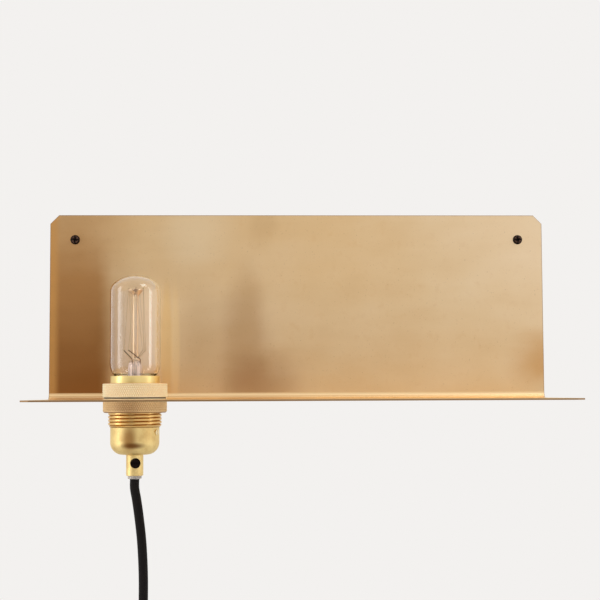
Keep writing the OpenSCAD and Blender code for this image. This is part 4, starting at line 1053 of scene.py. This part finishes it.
def sleeve(name, path, sides, relief=0.0):
    """A textile tube along a path, with its braid's UV map, and its yarns as relief."""
    mesh = bmesh.new()
    uv = mesh.loops.layers.uv.new("braid")
    around = math.pi * CORD_D
    across = None
    travelled = 0.0
    rings, marks = [], []
    for i, point in enumerate(path):
        ahead = (path[min(i + 1, len(path) - 1)] - path[max(i - 1, 0)]).normalized()
        across = ahead.orthogonal().normalized() if across is None else across
        across = (across - across.dot(ahead) * ahead).normalized()
        side = ahead.cross(across)
        if i:
            travelled += (point - path[i - 1]).length
        ring = []
        for k in range(sides):
            angle = FULL_TURN * k / sides
            yarn = yarn_height(BRAID_CELLS * k / sides, BRAID_CELLS * travelled / around)
            radius = CORD_D / 2 - relief + relief * yarn
            spot = point + radius * (math.cos(angle) * across + math.sin(angle) * side)
            ring.append(mesh.verts.new(spot * MM))
        rings.append(ring)
        marks.append(travelled / around)
    for i in range(len(rings) - 1):
        for k in range(sides):
            spots = ((k, i), (k + 1, i), (k + 1, i + 1), (k, i + 1))
            face = mesh.faces.new([rings[row][step % sides] for step, row in spots])
            face.smooth = True
            for loop, (step, row) in zip(face.loops, spots):
                loop[uv].uv = (step / sides, marks[row])
    mesh.faces.new(rings[0][::-1])
    mesh.faces.new(rings[-1])
    data = bpy.data.meshes.new(name)
    mesh.to_mesh(data)
    mesh.free()
    piece = bpy.data.objects.new(name, data)
    bpy.context.scene.collection.objects.link(piece)
    return piece


def make_cord():
    """The two lengths of cord: from the holder to the switch, and on through the coil."""
    drop_path = smooth_path([MOUTH + Vector(p) for p in DROP_ROUTE], step=0.35)
    drop = sleeve("cord_from_holder", drop_path, sides=64, relief=0.12)
    keep(drop, "root", "textile", FINISHES["textile"], "cord_drop")
    into_plug = 2
    link = [LINK_START + Vector(p) for p in LINK_ROUTE]
    coil = winding(per_turn=48) + [coil_point(ALL_TURNS)]
    tail = [TAIL_START, TAIL_START - Vector((0, 0, TAIL_L / 2)), PLUG_TOP - Vector((0, 0, into_plug))]
    flex_path = smooth_path(link + coil + tail, step=1.25)
    flex = sleeve("cord_to_plug", flex_path, sides=20)
    keep(flex, "root", "textile", FINISHES["textile"], "cord_link", "cord_coil", "cord_tail")
    return (drop, drop_path), (flex, flex_path)


def make_tie():
    """A strap round the left side of the bundle, with rounded corners."""
    width, thickness, corner = 12, 1.4, 2.4
    play, inner_play = 0.3, 0.8
    half_height = width / 2 + 3
    reach = [COIL_CENTRE.x - p.x for p in winding(per_turn=24)
             if p.x < COIL_CENTRE.x and abs(p.z - COIL_CENTRE.z) < half_height]
    out = max(reach) + CORD_D / 2 + play
    inner = min(reach) - CORD_D / 2 - inner_play
    side = CORD_D / 2 + play
    depth = TURN_PITCH * (COIL_LAYERS - 1)
    deselect()
    bpy.ops.mesh.primitive_cube_add(size=1)
    strap = fresh("tie_strap")
    strap.scale = ((out - inner) * MM, (depth + 2 * side) * MM, width * MM)
    strap.location = Vector((COIL_CENTRE.x - (out + inner) / 2, COIL_CENTRE.y + depth / 2,
                             COIL_CENTRE.z)) * MM
    settle(strap)
    bpy.ops.object.mode_set(mode="EDIT")
    select_faces(lambda middle, normal: abs(normal.z) > 0.9)
    bpy.ops.mesh.delete(type="FACE")
    select_edges(lambda a, b: abs(a.z - b.z) > width / 2)
    bpy.ops.mesh.bevel(offset=corner * MM, segments=5, affect="EDGES")
    bpy.ops.object.mode_set(mode="OBJECT")
    modify(strap, "SOLIDIFY", thickness=thickness * MM, offset=1.0, use_even_offset=True)
    soften(strap, 0.3, 50)
    shade(strap, 35)
    flatten(strap)
    return keep(strap, "root", "tie_fabric", FINISHES["tie_fabric"], "coil_tie")


# ---- The rest of the pieces ----

# CAD nodes that a finer copy stands for: its name, its body and the width of its soft edges
ROUNDED = {
    "wall_screws": ("wall_screw_heads", "root", 0.1),
    "cap_lock_screw": ("lock_screw", "root", 0.12),
    "cord_grip": ("grip_sleeve", "root", 0.1),
    "grip_screw": ("grip_set_screw", "root", 0.15),
    "grip_collar": ("grip_nylon_collar", "root", 0.1),
    "bulb_cap": ("bulb_screw_cap", "bulb", 0.0),
    "bulb_insulator": ("bulb_black_glass", "bulb", 0.0),
    "bulb_contact": ("bulb_tip", "bulb", 0.1),
    "bulb_leads": ("bulb_lead_wires", "bulb", 0.0),
    "bulb_upper_hooks": ("bulb_top_hooks", "bulb", 0.0),
    "bulb_lower_hooks": ("bulb_low_hooks", "bulb", 0.0),
    "switch_back_shell": ("switch_back", "root", 0.5),
    "switch_front_shell": ("switch_front", "root", 0.5),
    "switch_rocker": ("switch_rocker_cap", "rocker", 0.4),
    "switch_screws": ("switch_case_screws", "root", 0.1),
    "plug_relief": ("plug_sleeve", "root", 0.25),
    "plug_body": ("plug_grip", "root", 0.4),
    "plug_pins": ("plug_prongs", "root", 0.1),
    "plug_earth_clips": ("plug_earth_springs", "root", 0.1),
}

# Pieces whose finish differs from their material slot's own
LOOKS = {
    "bulb_upper_hooks": "pale_wire",
    "bulb_lower_hooks": "pale_wire",
    "grip_screw": "black_screw",
    "cap_lock_screw": "pale_brass",
    "grip_collar": "nylon",
}


def make_rest():
    """Every CAD node gets its slot's finish, and some are replaced by a finer copy."""
    slots = {part["node"]: part["material_slot"] for part in frame["record"]["subparts"]}
    made = {}
    for node, (name, body, bevel) in ROUNDED.items():
        finish = FINISHES[LOOKS.get(node, slots[node])]
        made[node] = keep(refined(name, node, bevel), body, slots[node], finish, node)
    for node, slot in slots.items():
        materials = frame["nodes"][node].data.materials
        materials.clear()
        materials.append(FINISHES[slot])
    return made


def declare_cords(cords, rest, tie):
    """Works out both cords' paths and length in metres and lists the pieces that hang on them, but
    passes none of it on.
    """
    (drop, drop_path), (flex, flex_path) = cords
    nodes = frame["nodes"]
    in_switch = [rest[n] for n in ("switch_back_shell", "switch_front_shell", "switch_rocker",
                                   "switch_screws")]
    in_switch += [nodes[n] for n in ("rocker_pin", "contact_bridge", "switch_contacts",
                                     "contact_screws", "cord_clamps", "clamp_screws",
                                     "switch_cores")]
    on_plug = [rest[n] for n in ("plug_relief", "plug_body", "plug_pins", "plug_earth_clips")]
    on_plug += [nodes["plug_earth_socket"], tie]
    [p * MM for p in drop_path]
    round(path_length(flex_path) * MM, 3)
    [p * MM for p in flex_path]


# ---- Room ----

def make_world():
    """A pale room: white for the camera, with a soft darker place behind the camera for gloss."""
    world = bpy.data.worlds.new("room")
    world.use_nodes = True
    bpy.context.scene.world = world
    room = Nodes(world.node_tree)

    def glow(colour, strength):
        return room.node("ShaderNodeBackground", {}, {"Color": colour, "Strength": strength})

    def is_ray(kind):
        return room.node("ShaderNodeLightPath", output=f"Is {kind} Ray")

    # The darker place is an oval round this middle, on the side that the camera stands on
    x, y, z = room.parts(room.node("ShaderNodeTexCoord", output="Generated"))
    aside = (x + 0.21) / 0.30
    above = (z + 0.10) / 0.34
    darker = (1 - (aside ** 2 + above ** 2).rise(0.25, 1.6)) * 0.85 * (y < 0)

    shown = glow(linear(243, 241, 239), 1.0)
    mirrored = room.blend(darker, glow((1.0, 0.985, 0.96), 0.86), glow((0.22, 0.17, 0.11), 1.0))
    lit = glow((1.0, 0.99, 0.97), 0.62)
    glossy = room.blend(is_ray("Glossy"), lit, mirrored)
    through = room.blend(is_ray("Transmission"), glossy, shown)
    seen = room.blend(is_ray("Camera"), through, shown)
    room.put(room.nodes["World Output"].inputs["Surface"], seen)


def soft_light(name, place, aim, size, power):
    """A white rectangular lamp that faces its aim."""
    data = bpy.data.lights.new(name, "AREA")
    data.shape = "RECTANGLE"
    data.size, data.size_y = (side * MM for side in size)
    data.energy = power
    light = bpy.data.objects.new(name, data)
    bpy.context.scene.collection.objects.link(light)
    light.location = Vector(place) * MM
    light.rotation_euler = (Vector(aim) - Vector(place)).to_track_quat("-Z", "Y").to_euler()


def make_floor():
    """A pale floor under the plug that fades out before it reaches the photograph's view."""
    radius, height = 1900, -600
    deselect()
    bpy.ops.mesh.primitive_circle_add(vertices=96, radius=radius * MM, fill_type="NGON",
                                      location=(0, 0, height * MM))
    floor = settle(fresh("floor"))
    finish = Finish("floor_paint", linear(236, 234, 231), 0.8)
    grain = finish.noise(500, 3)
    finish.set("Base Color", finish.mix(grain, linear(233, 231, 228), linear(238, 236, 233)))
    x, y, _ = finish.axes()
    away = (x ** 2 + y ** 2) ** 0.5
    finish.cover(away.rise(700, radius - 100), "ShaderNodeBsdfTransparent")
    floor.data.materials.append(finish.material)


place_camera()
cords = make_cord()
tie = make_tie()
make_bracket()
make_upper_ring()
make_lower_ring()
make_skirt()
make_cap()
make_glass()
make_stem()
rest = make_rest()
declare_cords(cords, rest, tie)
make_world()
soft_light("key", (1200, -900, 1900), (0, 0, -100), (1000, 1000), 12)
soft_light("left_strip", (-1450, -450, 100), (-120, -70, -100), (400, 1500), 5)
soft_light("right_strip", (1150, -420, 100), (-120, -70, -100), (220, 1500), 1.6)
make_floor()
bpy.context.scene.view_settings.view_transform = "Standard"
